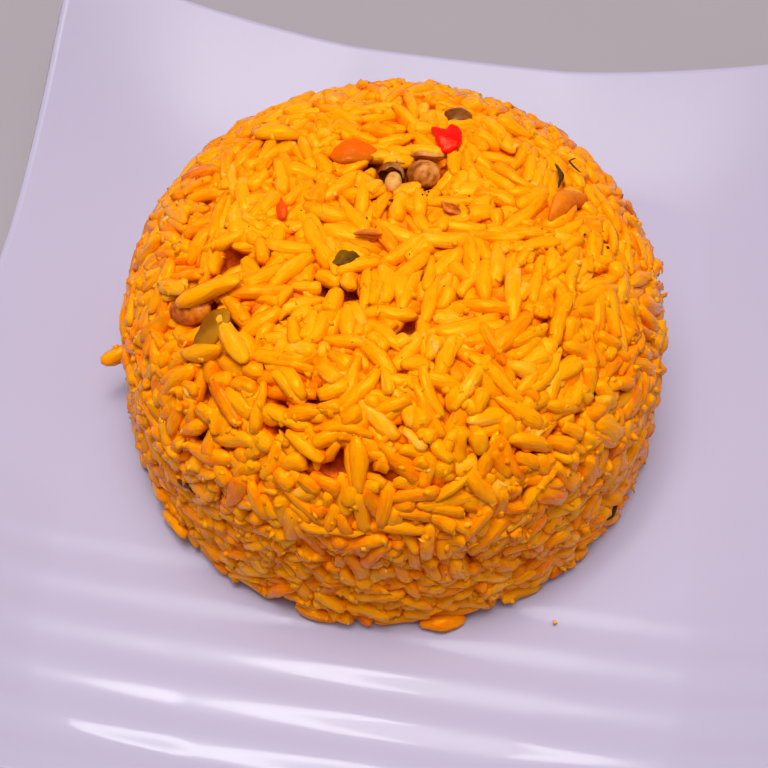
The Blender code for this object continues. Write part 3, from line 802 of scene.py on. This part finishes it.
# %% [markdown]
# The mould pressed on the rice. So what lies less than a millimetre under the face, or out of
# it, is pushed in a little, more on the top than on the wall, and nothing stands higher than the
# imported part. Each point also keeps how deep it lies, which the finish uses to paint shade:
# darker and redder the deeper it lies.

# %% Grow the grains
# The painted shade in the rice begins BRIGHT_DEPTH under the face and is full at DARK_DEPTH.
BRIGHT_DEPTH, DARK_DEPTH = 0.9 * MM, 4.5 * MM
HIGHEST = cad_box[1][2] - 0.1 * MM
PRESS_FROM = 1.0 * MM
PRESS_TOP, PRESS_WALL = 0.70, 0.95
GIRTH_SPREAD, GIRTH_LEAST, GIRTH_MOST = 0.09, 0.8, 1.2


def grain_points(rows, length, thick, draw):
    """A mesh of bare points that carry how each grain is turned, sized and coloured."""
    point, outward, _, _ = face_at(rows[:, 0], rows[:, 1])
    mesh = bpy.data.meshes.new("grain places")
    mesh.from_pydata((point - rows[:, 4:5] * outward).tolist(), [], [])
    turns, sizes = [], []
    for run, bearing, heading, lean, _, half, own_thick, _, _ in rows:
        axes = Matrix(axes_at(run, bearing, heading, lean).tolist()).transposed()
        roll = Matrix.Rotation(draw.uniform(-math.pi, math.pi), 3, "X")
        turns.append((axes @ roll).to_euler())
        girths = np.clip(draw.normal(1.0, GIRTH_SPREAD, 2), GIRTH_LEAST, GIRTH_MOST)
        sizes.append((2 * (half + own_thick) / length, *(girths * own_thick / thick)))
    for name, kind_of, values in (("turn", "FLOAT_VECTOR", turns), ("size", "FLOAT_VECTOR", sizes)):
        mesh.attributes.new(name, kind_of, "POINT").data.foreach_set("vector", np.array(values).ravel())
    mesh.attributes.new("tone", "FLOAT", "POINT").data.foreach_set("value", rows[:, 8].copy())
    return mesh


def settle_on_face(thing, press):
    """Press flatter what stands out of the face, and keep on each point how deep it lies, 0 to 1, as the
    share of painted shade.
    """
    co = np.empty(3 * len(thing.data.vertices))
    thing.data.vertices.foreach_get("co", co)
    co = co.reshape(-1, 3)
    x, y, z = (co - (HEAP_X, HEAP_Y, RICE_BASE)).T
    radius = np.hypot(x, y)
    out, up = np.clip(radius - FLAT_TOP, 0, None), np.clip(z - WALL_DROP, 0, None)
    wall = SHOULDER + (BASE_RADIUS - TOP_RADIUS) * np.clip(1 - z / WALL_DROP, 0, 1)
    reach = np.hypot(out, up)
    depth = wall - reach
    co[:, 2] = np.minimum(co[:, 2], HIGHEST)
    if press:
        left = PRESS_TOP + (PRESS_WALL - PRESS_TOP) * out / reach
        inward = np.clip(PRESS_FROM - depth, 0, None) * (1 - left) / reach
        co -= np.stack((inward * out * x / radius, inward * out * y / radius, inward * up), -1)
        depth = depth + inward * reach
    thing.data.vertices.foreach_set("co", co.ravel())
    # How deep each point lies, 0 to 1: the finishes paint it darker as shade.
    deep = np.clip((depth - BRIGHT_DEPTH) / (DARK_DEPTH - BRIGHT_DEPTH), 0, 1)
    thing.data.attributes.new("deep", "FLOAT", "POINT").data.foreach_set("value", deep)


grains_tree = grain_tree()
grain_draw = np.random.default_rng(23)
grain_pieces = []
kind_sizes = [(name, length, thick) for name, _, length, _, thick, _ in KINDS]
for number, (name, length, thick) in enumerate([*kind_sizes, ("stray", *STRAY_SIZE)]):
    length, thick = length * MM, thick * MM
    blunt, bend, curl, taper, flare = GRAIN_SHAPES[name]
    sizes = {"Length": length, "Width": 2.15 * thick, "Height": 1.9 * thick, "Bluntness": blunt,
             "Bend": bend * MM, "Curl": curl * MM, "Taper": taper, "Flare": flare,
             "Uneven": 1.3 * MM, "Sides": 8, "Rings": 7, "Rice": rice}
    grains = grow(f"rice_{name}_grains", grains_tree, sizes,
                  grain_points(laid[laid[:, 7] == number], length, thick, grain_draw))
    settle_on_face(grains, number != STRAY)
    grain_pieces.append(grains)
    report(grains)
    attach(grains, "root")

# %% [markdown]
# ## The core
# Between the grains one sees starchy, packed rice, stained orange, painted darker and red-brown as
# shade the deeper it lies, so the pockets are darkest. The core is the face moved in by about a
# grain's thickness, with lumps as large as grains, and further in at the gaps. It stands for the
# imported solid of the heap.

# %% Core of the heap
CORE_DEPTH, CORE_WALL_DEPTH, POCKET_DEPTH = 2.0 * MM, 3.5 * MM, 4.9 * MM
CORE_STEP, CORE_TURNS, CORE_WAVES = 0.8 * MM, 360, 9
LUMP_HEIGHT, LUMP_PITCH = 1.6 * MM, 3.0 * MM
POCKET_REACH = 2.1
POCKETS_BY_TOPPINGS = ((12.9, 103, 2.3), (13.9, 78, 2.4), (37.4, -151, 3.2), (35.1, -140, 2.6),
                       (18.3, 122, 3.0), (29.2, 76, 2.6))


def waves(points, pitch, seed):
    """Smooth unevenness from 0 to 1 with hills about as far apart as pitch."""
    draw = np.random.default_rng(seed)
    total = sum(np.sin(points @ draw.normal(size=3) * 3.1 / pitch + draw.uniform(0, 6))
                for _ in range(CORE_WAVES))
    return 0.5 + total / CORE_WAVES


def core_mesh():
    """Rings of points round the heap, moved in from the face, and closed at the foot."""
    runs = np.linspace(0, FACE_RUN, round(FACE_RUN / CORE_STEP))[1:]
    bearings = np.linspace(-math.pi, math.pi, CORE_TURNS, endpoint=False)
    point, outward, _, _ = face_at(runs[:, None], bearings[None, :])
    by_toppings = [(run * MM, math.radians(bearing), radius * MM)
                   for run, bearing, radius in POCKETS_BY_TOPPINGS]
    rough = np.clip((runs[:, None] - FLAT_TOP) / ROUND_RUN, 0, 1)
    lumps = LUMP_HEIGHT * (waves(point, LUMP_PITCH, 5) - 0.5)
    depth = CORE_DEPTH + (CORE_WALL_DEPTH - CORE_DEPTH) * rough - lumps
    for run, bearing, radius in [*gaps, *by_toppings]:
        away = np.linalg.norm(point - face_at(run, bearing)[0], axis=-1)
        depth = np.maximum(depth, POCKET_DEPTH * np.clip(POCKET_REACH - away / radius, 0, 1))
    inner = point - depth[..., None] * outward
    inner[..., 2] = np.maximum(inner[..., 2], RICE_BASE)
    top = face_at(0.0, 0.0)[0] - np.array((0, 0, depth[0].mean()))
    bm = bmesh.new()
    crown = bm.verts.new(top)
    rings = [[bm.verts.new(place) for place in ring] for ring in inner]
    for k in range(CORE_TURNS):
        bm.faces.new((crown, rings[0][k], rings[0][(k + 1) % CORE_TURNS]))
    for upper, lower in zip(rings, rings[1:]):
        for k in range(CORE_TURNS):
            after = (k + 1) % CORE_TURNS
            bm.faces.new((upper[k], lower[k], lower[after], upper[after]))
    bm.faces.new(rings[-1][::-1])
    mesh = bpy.data.meshes.new("rice_core")
    bm.to_mesh(mesh)
    bm.free()
    mesh.shade_smooth()
    return mesh


def paint_core(tree):
    # Painted shade: the deeper the core lies, the darker and redder it is.
    share = 0.35 * noise(tree, 1.6 * MM, 3.0) + 0.72 * own(tree, "deep")
    colour = ramp(tree, share,
                  (0.30, (0.96, 0.25, 0.0005)),
                  (0.60, (0.86, 0.15, 0.0005)),
                  (0.90, (0.42, 0.036, 0.0005)))
    return {"Base Color": colour, "Roughness": 0.4 + 0.2 * share,
            "Normal": bump(tree, noise(tree, 1.3 * MM, 3.0), 0.6 * MM, 0.8)}


core = new_object("rice_core", core_mesh())
core.data.materials.append(finish("packed rice inside", paint_core, Specular_IOR_Level=0.15,
                                  Specular_Tint=(1.0, 0.75, 0.35, 1), Subsurface_Weight=0.25,
                                  Subsurface_Radius=(1.0, 0.5, 0.1), Subsurface_Scale=1.2 * MM))
settle_on_face(core, False)
report(core)
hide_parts("rice")
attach(core, "root")

# %% [markdown]
# ## Crumbs of rice
# Broken ends and starchy crumbs stick to the grains, mostly on the wall, where the mould tore
# them. Each crumb is a small lump with few faces. A line is drawn into the heap at a random
# place, and the crumb sits where it meets the rice.

# %% Where a line meets the rice
LINE_START, LINE_LENGTH = 5 * MM, 12 * MM


def skin_of(things):
    """A tree for lines that meet these pieces."""
    corners, faces = [], []
    for thing in things:
        start = len(corners)
        corners.extend(vertex.co.copy() for vertex in thing.data.vertices)
        faces.extend([start + k for k in face.vertices] for face in thing.data.polygons)
    return BVHTree.FromPolygons(corners, faces)


def on_rice(run, bearing):
    """Where a line into the heap first meets the rice, and the direction out of the face."""
    point, outward, _, _ = face_at(run, bearing)
    hit = rice_skin.ray_cast(Vector(point + LINE_START * outward), Vector(-outward), LINE_LENGTH)[0]
    return (np.array(hit) if hit else point), outward


# %% Crumbs
CRUMBS, CRUMB_SINK = 1500, 0.25
CRUMB_CORNERS = np.array([(0, 0, 1), (1, 0, 0.2), (0.3, 1, -0.1), (-0.8, 0.6, 0.1), (-0.8, -0.6, -0.2),
                          (0.3, -1, 0.1), (0, 0, -1)])
CRUMB_SIDES = 5
ROUND = [(1 + k, 1 + (k + 1) % CRUMB_SIDES) for k in range(CRUMB_SIDES)]
CRUMB_FACES = np.array([(0, k, after) for k, after in ROUND] + [(6, after, k) for k, after in ROUND])


def crumb_mesh(name, places, material, tones):
    """One joined mesh of small lumps. Each place comes with the lump's half sizes as turned rows."""
    draw, count = np.random.default_rng(41), len(CRUMB_CORNERS)
    corners, faces = [], []
    for place, axes in places:
        shape = CRUMB_CORNERS * draw.uniform(0.7, 1.3, (count, 1))
        faces.extend((CRUMB_FACES + count * len(corners)).tolist())
        corners.append(place + shape @ axes)
    mesh = bpy.data.meshes.new(name)
    mesh.from_pydata(np.concatenate(corners).tolist(), [], faces)
    mesh.attributes.new("tone", "FLOAT", "POINT").data.foreach_set("value", np.repeat(tones, count))
    where = mesh.attributes.new("grain place", "FLOAT_VECTOR", "POINT")
    where.data.foreach_set("vector", np.concatenate(corners).ravel())
    mesh.shade_smooth()
    mesh.materials.append(material)
    return new_object(name, mesh)


def turned(draw, sizes):
    """Rows of a random turn, scaled by the half sizes."""
    axes = np.array(Quaternion(draw.normal(size=4)).normalized().to_matrix())
    return axes * np.asarray(sizes)[:, None]


rice_skin = skin_of([*grain_pieces, core])
crumb_draw = np.random.default_rng(29)
crumb_places = []
for _ in range(CRUMBS):
    run = FACE_RUN * crumb_draw.uniform(0.02, 0.97) ** 0.55
    place, outward = on_rice(run, crumb_draw.uniform(-math.pi, math.pi))
    size = crumb_draw.uniform(0.35, 0.95) * MM
    sizes = size * np.array((crumb_draw.uniform(1.0, 2.0), 1.0, crumb_draw.uniform(0.6, 1.0)))
    crumb_places.append((place - CRUMB_SINK * size * outward, turned(crumb_draw, sizes)))
crumb_tones = crumb_draw.normal(0.34, 0.14, CRUMBS)
crumbs = crumb_mesh("rice_crumbs", crumb_places, rice, crumb_tones)
settle_on_face(crumbs, True)
report(crumbs)
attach(crumbs, "root")

# %% [markdown]
# ## Peas, pepper and onion
# The toppings are few and no two are alike, so each is one closed shape made by formulas from
# the directions of a sphere: peas in a wrinkled skin, a hood of skin with its seed looking out,
# and soft slices with round edges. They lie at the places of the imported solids. Each point
# keeps its direction on the piece, which the finishes use.

# %% Closed shapes
def directions(rows, columns):
    """Unit directions in rows from the pole at +X to the one at -X."""
    down = np.linspace(0, math.pi, rows)[:, None]
    around = np.linspace(0, 2 * math.pi, columns, endpoint=False)[None]
    sides = (np.cos(down) + 0 * around, np.sin(down) * np.cos(around), np.sin(down) * np.sin(around))
    return np.stack(sides, -1)


def folds(points, pitch, seed):
    """Bent waves from several sides, 0 in their creases and up to 1 between them."""
    draw = np.random.default_rng(seed)
    total = 0.0
    for _ in range(6):
        way, bend = draw.normal(size=3), draw.normal(size=3)
        along = points @ (way / np.linalg.norm(way)) / pitch
        wave = math.pi * along + np.sin(points @ bend / pitch) + draw.uniform(0, 3)
        total = total + np.abs(np.sin(wave))
    return total / 6


def placed(local, run, bearing, heading, depth):
    """Points of a piece put on the heap. The place is given in millimetres and degrees."""
    run, bearing, heading = run * MM, math.radians(bearing), math.radians(heading)
    point, outward, _, _ = face_at(run, bearing)
    return point - depth * MM * outward + local @ axes_at(run, bearing, heading)


def closed_mesh(name, points, marks, material):
    """A closed smooth piece from rows of points, whose first and last rows are single points."""
    rows, columns = points.shape[:2]
    here = [(0, 0)] + [(row, k) for row in range(1, rows - 1) for k in range(columns)] + [(rows - 1, 0)]
    row_of, column_of = np.array(here).T

    def at(row, k):
        return 1 + (row - 1) * columns + k % columns

    faces = []
    for k in range(columns):
        faces.append((0, at(1, k), at(1, k + 1)))
        faces.append((at(rows - 2, k + 1), at(rows - 2, k), len(here) - 1))
        faces.extend((at(row, k), at(row + 1, k), at(row + 1, k + 1), at(row, k + 1))
                     for row in range(1, rows - 2))
    mesh = bpy.data.meshes.new(name)
    mesh.from_pydata(points[row_of, column_of].tolist(), [], faces)
    for label, values in marks.items():
        mark = mesh.attributes.new(label, "FLOAT", "POINT")
        mark.data.foreach_set("value", values[row_of, column_of].astype(float))
    bm = bmesh.new()
    bm.from_mesh(mesh)
    bmesh.ops.recalc_face_normals(bm, faces=bm.faces)
    bm.to_mesh(mesh)
    bm.free()
    mesh.shade_smooth()
    mesh.materials.append(material)
    return new_object(name, mesh)


def ride_as(piece, slot, node=None):
    report(piece)
    if node:
        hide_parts(node)
    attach(piece, "root")


# %% [markdown]
# A pea's skin is a thin brown hide, mottled and a little glossy, painted darker in its creases as
# shade. The seed inside is pale. The pea at the left is shiny and red-brown, and the one at the back
# has a darker skin, painted as the shade of the rice over it.

# %% Finishes of the peas
FOOD_SHINE = {"Specular_IOR_Level": 0.35, "Specular_Tint": (1.0, 0.75, 0.5, 1)}
SOFT_SHINE = {"Specular_IOR_Level": 0.2, "Specular_Tint": (1.0, 0.5, 0.2, 1)}


def paint_skin(tree, light, mid, dark):
    patch = noise(tree, 1.1 * MM, 3.0)
    # Painted shade: the skin is darker in the creases between its folds.
    share = 0.1 + 0.55 * own(tree, "crease") + 0.2 * own(tree, "along") + 0.9 * (patch - 0.5)
    colour = ramp(tree, share, (0.20, dark), (0.45, mid), (0.75, light))
    return {"Base Color": colour, "Roughness": 0.25 + 0.25 * patch,
            "Normal": bump(tree, noise(tree, 0.5 * MM, 2.0), 0.08 * MM, 0.6)}


def skin_finish(name, light, mid, dark):
    return finish(name, lambda tree: paint_skin(tree, light, mid, dark), **FOOD_SHINE,
                  Subsurface_Weight=0.15, Subsurface_Radius=(1.0, 0.4, 0.15), Subsurface_Scale=0.6 * MM)


brown_skin = skin_finish("brown pea skin", (0.72, 0.31, 0.07), (0.55, 0.165, 0.018), (0.26, 0.055, 0.004))
dark_skin = skin_finish("dark pea skin", (0.46, 0.19, 0.06), (0.30, 0.085, 0.014), (0.20, 0.03, 0.001))
shiny_skin = skin_finish("shiny pea skin", (0.82, 0.24, 0.012), (0.60, 0.12, 0.003), (0.30, 0.034, 0.0008))
# Painted shade: a darker copy of the pea skin, for the pea that lies in the shade of the rice.
shade_painted_skin = skin_finish("pea skin with painted shade", (0.30, 0.09, 0.006), (0.20, 0.05, 0.002), (0.12, 0.02, 0.001))
pale_seed = skin_finish("pale pea seed", (0.84, 0.44, 0.12), (0.74, 0.33, 0.07), (0.52, 0.19, 0.02))

# %% Peas, seed and hood
PEAS = {
    # run, bearing, heading, depth, length, width, height, depth of folds, seed, finish
    "pea_whole": (13.9, 78, 153, 1.5, 5.7, 5.1, 4.8, 0.10, 4, brown_skin),
    "pea_back": (29.2, 76, 147, 2.4, 6.4, 5.8, 5.4, 0.07, 5, shade_painted_skin),
    "pea_left": (37.4, -151, -55, 1.5, 8.2, 5.2, 4.6, 0.03, 6, shiny_skin),
    "pea_seed": (10.9, 100, -80, 1.0, 3.9, 2.9, 3.0, 0.025, 7, pale_seed),
}
for name, (run, bearing, heading, depth, length, width, height, fold_depth, seed, skin) in PEAS.items():
    unit = directions(36, 52)
    local = unit * np.array((length, width, height)) * MM / 2
    crease = folds(local, 1.5 * MM, seed)
    local = local * (1 + fold_depth * 0.4 - fold_depth * 2.2 * (1 - crease[..., None]) ** 2)
    pea = closed_mesh(f"visual_{name}", placed(local, run, bearing, heading, depth),
                      {"crease": crease, "along": unit[..., 0]}, skin)
    ride_as(pea, "pea_seed" if name == "pea_seed" else "pea", name)


def hood_points(rows=44, columns=56):
    """Outside and inside of half an egg of skin, from the outer pole over the rim to the inner one."""
    share = np.linspace(0, 1, rows)[:, None]
    around = np.linspace(0, 2 * math.pi, columns, endpoint=False)[None]
    rim = math.pi / 2 * (0.97 + 0.07 * np.sin(3 * around + 1) + 0.04 * np.sin(7 * around))
    angle = math.pi - rim * (1 - np.abs(2 * share - 1))
    inset = 0.45 * MM * (0.5 + 0.5 * np.tanh(14 * (share - 0.5)))
    half = np.array((5.9, 4.9, 5.0)) * MM / 2
    unit = np.stack((np.cos(angle), np.sin(angle) * np.cos(around), np.sin(angle) * np.sin(around)), -1)
    return unit, unit * (half - inset[..., None])


unit, local = hood_points()
crease = folds(local, 1.7 * MM, 9)
local = local * (1.01 - 0.08 * (1 - crease[..., None]) ** 2)
hood = closed_mesh("visual_pea_hood", placed(local, 12.2, 102, -80, 1.4),
                   {"crease": crease, "along": unit[..., 1]}, dark_skin)
ride_as(hood, "pea", "pea_hood")

# %% [markdown]
# Boiled pepper and onion are soft and wet, and light goes some way into them. Each slice and bit
# is painted brighter along one long edge and darker along the other, as painted light and shade.
# Leaf and herb bits are nearly black with an olive cast.

# %% Finishes of the slices and bits
def paint_soft(tree, painted_light, deep):
    patch = noise(tree, 2.2 * MM, 3.0)
    # Painted light and shade: brighter towards one long edge, darker towards the other.
    share = 0.5 + 0.9 * (patch - 0.5) + 0.45 * own(tree, "across")
    return {"Base Color": mix(tree, share.step(0.2, 0.8), (*deep, 1), (*painted_light, 1)),
            "Roughness": 0.10 + 0.2 * patch,
            "Normal": bump(tree, noise(tree, 0.9 * MM, 2.0), 0.2 * MM, 0.7)}


def soft_finish(name, painted_light, deep):
    return finish(name, lambda tree: paint_soft(tree, painted_light, deep), **SOFT_SHINE,
                  Subsurface_Weight=0.2, Subsurface_Radius=(1.0, 0.3, 0.06), Subsurface_Scale=1.0 * MM)


# Each finish has a colour for its painted light and one for its painted shade.
orange_flesh = soft_finish("orange pepper", (0.98, 0.110, 0.0006), (0.60, 0.115, 0.001))
red_flesh = soft_finish("red pepper", (0.98, 0.009, 0.005), (0.82, 0.004, 0.002))
coral_flesh = soft_finish("small bit of pepper", (0.97, 0.085, 0.002), (0.92, 0.055, 0.001))
onion_light = soft_finish("soft onion, orange", (0.76, 0.200, 0.008), (0.60, 0.105, 0.001))
onion_dark = soft_finish("soft onion, olive", (0.44, 0.170, 0.006), (0.26, 0.075, 0.001))
pink_flesh = soft_finish("thin strip of onion", (0.66, 0.17, 0.02), (0.42, 0.07, 0.002))
olive_leaf = soft_finish("olive leaf", (0.190, 0.075, 0.002), (0.100, 0.036, 0.001))
herb = soft_finish("dark herb", (0.085, 0.034, 0.002), (0.026, 0.011, 0.001))

# %% Slices and bits
SLICES = {
    # run, bearing, heading, depth, length, width, thickness, wave, bow; bumps of the outline as
    # bearing, size and spread; slot and finish
    "pepper_orange": (18.3, 122, -165, 0.7, 8.0, 4.6, 1.9, 0.5, 0.5, ((20, 0.10, 30), (200, -0.12, 25)),
                      "pepper_orange", orange_flesh),
    "pepper_red": (22.2, 74, 80, 0.3, 6.6, 4.6, 1.5, 0.5, 0.0,
                   ((38, -0.35, 16), (75, 0.60, 13), (140, -0.12, 25)), "pepper_red", red_flesh),
    "onion_left": (35.1, -140, 80, 0.4, 8.4, 5.0, 1.5, 0.6, 0.6, ((90, -0.12, 30), (250, 0.12, 30)),
                   "onion", onion_dark),
    "onion_right": (30.4, 22, 58, 0.3, 9.6, 4.2, 1.8, 0.8, 1.2, ((270, -0.35, 40), (175, 0.15, 25)),
                    "onion", onion_light),
    "pea_skin": (17.0, 80, 165, 0.0, 5.6, 1.1, 0.6, 0.2, 0.2, ((0, 0.1, 20),), "pea", brown_skin),
    "leaf_bit": (9.4, -136, -80, 0.3, 4.4, 3.0, 0.6, 0.2, 0.2,
                 ((60, -0.35, 25), (0, 0.25, 15), (180, 0.2, 15)), "pea", olive_leaf),
    "strip_bit": (4.5, -158, -75, -0.3, 4.6, 1.1, 0.8, 0.2, 0.2, ((0, 0.1, 20),), "onion", pink_flesh),
    "pepper_bit": (19.1, 177, -20, -0.1, 3.8, 1.8, 1.2, 0.3, -0.2, ((180, 0.5, 14), (90, 0.2, 20)),
                   "pepper_red", coral_flesh),
    "herb_hook": (30.7, 33.5, 23, -0.7, 5.2, 0.9, 0.5, 0.3, -0.8, ((180, 0.3, 25), (90, 0.4, 30)),
                  "pea", herb),
    "herb_curl": (35.3, 37, 20, -0.9, 3.6, 0.5, 0.4, 0.2, 1.8, ((0, 0.1, 20),), "pea", herb),
    "skin_bit": (10.4, 36, -29, 0.1, 4.2, 2.0, 0.7, 0.3, 0.3, ((30, -0.3, 30), (180, 0.3, 20)),
                 "pea", shiny_skin),
    "leaf_left": (64.4, -128, -18, -0.2, 4.6, 2.0, 0.8, 0.5, 0.6, ((60, -0.2, 25),), "pea", herb),
    "leaf_right": (80.0, -28, -50, -0.2, 4.2, 1.8, 0.8, 0.4, 0.4, ((60, -0.2, 25),), "pea", herb),
    "thin_stem": (52.2, 13, 35, -1.3, 3.4, 0.5, 0.4, 0.1, 0.3, ((0, 0.1, 20),), "onion", pink_flesh),
}


def slice_points(length, width, thick, wave, bow, bumps, rows=24, columns=64):
    """A pillow bent by waves, whose outline is bowed and pushed out or in by bumps. Also its across."""
    down = np.linspace(0, math.pi, rows)[:, None]
    around = np.linspace(0, 2 * math.pi, columns, endpoint=False)[None]
    u, v = np.sin(down) * np.cos(around), np.sin(down) * np.sin(around)
    edge = 1 + 0.03 * np.sin(5 * u + 3 * v) + 0.02 * np.sin(11 * around) * np.sin(down) ** 2
    for bearing, size, spread in bumps:
        turn = (np.degrees(around) - bearing + 180) % 360 - 180
        edge = edge + size * np.exp(-(turn / spread) ** 2) * np.sin(down) ** 2
    x = u * length / 2 * edge
    y = v * width / 2 * edge + bow * (0.5 - u * u)
    height = wave / 2 * (np.cos(3.3 * u + 0.6) + 0.6 * np.sin(2.4 * v + u))
    up = np.cos(down) + 0 * around
    height = height + thick / 2 * np.sign(up) * np.abs(up) ** 0.6
    return np.stack((x, y, height), -1) * MM, v


for name, (*place, length, width, thick, wave, bow, bumps, slot, flesh) in SLICES.items():
    local, across = slice_points(length, width, thick, wave, bow, bumps)
    crease = folds(local, 2.2 * MM, len(name))
    local = local * (1.0 - 0.04 * (1 - crease[..., None]) ** 2)
    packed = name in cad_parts
    piece = closed_mesh(f"visual_{name}" if packed else name, placed(local, *place),
                        {"across": across, "along": across, "crease": crease}, flesh)
    ride_as(piece, slot, name if packed else None)

# %% [markdown]
# Specks of herb lie on the grains, and one crumb of rice has dropped on the plate. They are
# made like the other crumbs, the specks as flat flakes.

# %% Specks and the crumb on the plate
SPECKS_SEEN = (
    # run, bearing, heading, length and width, in millimetres and degrees
    (5.6, 158, 10, 1.0, 0.5), (6.4, 101, -7, 1.8, 0.7), (7.0, 104, 40, 0.8, 0.5),
    (8.6, 66, 41, 0.7, 0.4), (9.6, 64, 41, 0.6, 0.4), (10.4, 65, 41, 0.7, 0.4),
    (14.8, 40, 20, 0.9, 0.5), (18.0, 110, 0, 0.8, 0.4), (32.2, 11, 20, 0.8, 0.5),
    (36.4, 11, 38, 2.0, 1.0), (37.0, 9, 38, 1.0, 0.8), (37.2, 49, 0, 0.8, 0.4),
    (19.6, -124, 0, 0.6, 0.3), (66.0, -112, 80, 1.3, 0.5),
)
MORE_SPECKS, SPECK_HALF_HEIGHT = 60, 0.13
speck_draw = np.random.default_rng(37)
speck_rows = [*SPECKS_SEEN]
for _ in range(MORE_SPECKS):
    speck_rows.append((78 * speck_draw.random() ** 0.7, speck_draw.uniform(-180, 180),
                       speck_draw.uniform(-90, 90), speck_draw.uniform(0.25, 0.6),
                       speck_draw.uniform(0.15, 0.3)))
speck_places = []
for run, bearing, heading, length, width in speck_rows:
    place, outward = on_rice(run * MM, math.radians(bearing))
    axes = axes_at(run * MM, math.radians(bearing), math.radians(heading))
    half = np.array((length / 2, width / 2, SPECK_HALF_HEIGHT)) * MM
    speck_places.append((place, axes * half[:, None]))
specks = crumb_mesh("herb_specks", speck_places, herb, np.full(len(speck_rows), 0.5))
ride_as(specks, "pea")

CRUMB_ON_PLATE = np.array((33.7, -41.1, 6.1)) * MM
crumb_axes = turned(speck_draw, (0.5 * MM, 0.42 * MM, 0.35 * MM))
plate_crumb = crumb_mesh("crumb_on_plate", [(CRUMB_ON_PLATE, crumb_axes)], rice, np.array((0.0,)))
settle_on_face(plate_crumb, False)
ride_as(plate_crumb, "rice")

# %% [markdown]
# ## Floor, light and camera
# A pale matt floor, a narrow soft lamp overhead that draws bright lines on the ripples, and a
# sky that is by far the brightest straight above, so that wet grains shine. The camera stands
# where the photograph was taken from, a little to the right of the plate's front.

# %% Floor
def paint_floor(tree):
    colour = mix(tree, noise(tree, 60 * MM), (0.33, 0.285, 0.315, 1), (0.35, 0.305, 0.335, 1))
    return {"Base Color": colour, "Roughness": 0.55 + 0.1 * noise(tree, 4 * MM)}


FLOOR_HALF = 3
floor_mesh = bpy.data.meshes.new("floor")
corners = [(-FLOOR_HALF, -FLOOR_HALF, 0), (FLOOR_HALF, -FLOOR_HALF, 0),
           (FLOOR_HALF, FLOOR_HALF, 0), (-FLOOR_HALF, FLOOR_HALF, 0)]
floor_mesh.from_pydata(corners, [], [(0, 1, 2, 3)])
floor = new_object("floor", floor_mesh)
floor_mesh.materials.append(finish("pale table", paint_floor, Specular_IOR_Level=0.3))

# %% Light
def soft_light(name, place, towards, width, depth, power, colour):
    light = bpy.data.lights.new(name, "AREA")
    light.shape = "RECTANGLE"
    light.size, light.size_y = width, depth
    light.energy = power
    light.color = colour
    lamp = bpy.data.objects.new(name, light)
    bpy.context.scene.collection.objects.link(lamp)
    lamp.location = place
    lamp.rotation_euler = (Vector(towards) - Vector(place)).to_track_quat("-Z", "Y").to_euler()


soft_light("strip lamp", (-0.068, -0.026, 0.45), (-0.0087, -0.0701, 0), 0.18, 0.044, 0.42,
           (1.0, 0.985, 0.97))


def light_sky(base, overhead, gather, colour):
    """An even sky that is brighter overhead, like a wide soft box."""
    world = bpy.data.worlds.new("soft sky")
    world.use_nodes = True
    tree = world.node_tree
    tree.nodes.clear()
    _, _, high = add(tree, "ShaderNodeSeparateXYZ", None, (place_of(tree),), give="all")
    strength = base + overhead * high.at_least(0.0) ** gather
    sky = add(tree, "ShaderNodeBackground", None, {"Color": (*colour, 1), "Strength": strength})
    tree.links.new(sky.socket, tree.nodes.new("ShaderNodeOutputWorld").inputs["Surface"])
    bpy.context.scene.world = world


light_sky(0.25, 12.2, 26.0, (1.0, 0.99, 0.985))
bpy.context.scene.view_settings.view_transform = "Standard"

# %% Camera
CAMERA_PLACE = Vector((0.0213, -0.1523, 0.2574))
CAMERA_FORWARD = Vector((-0.0847, 0.5231, -0.8480))
HALF_VIEW = math.radians(14)
SENSOR = 36.0
camera = bpy.data.objects.new("camera", bpy.data.cameras.new("camera"))
bpy.context.scene.collection.objects.link(camera)
camera.location = CAMERA_PLACE
camera.rotation_euler = CAMERA_FORWARD.to_track_quat("-Z", "Y").to_euler()
camera.data.sensor_width = SENSOR
camera.data.lens = SENSOR / 2 / math.tan(HALF_VIEW)
camera.data.clip_start = 0.01
bpy.context.scene.camera = camera
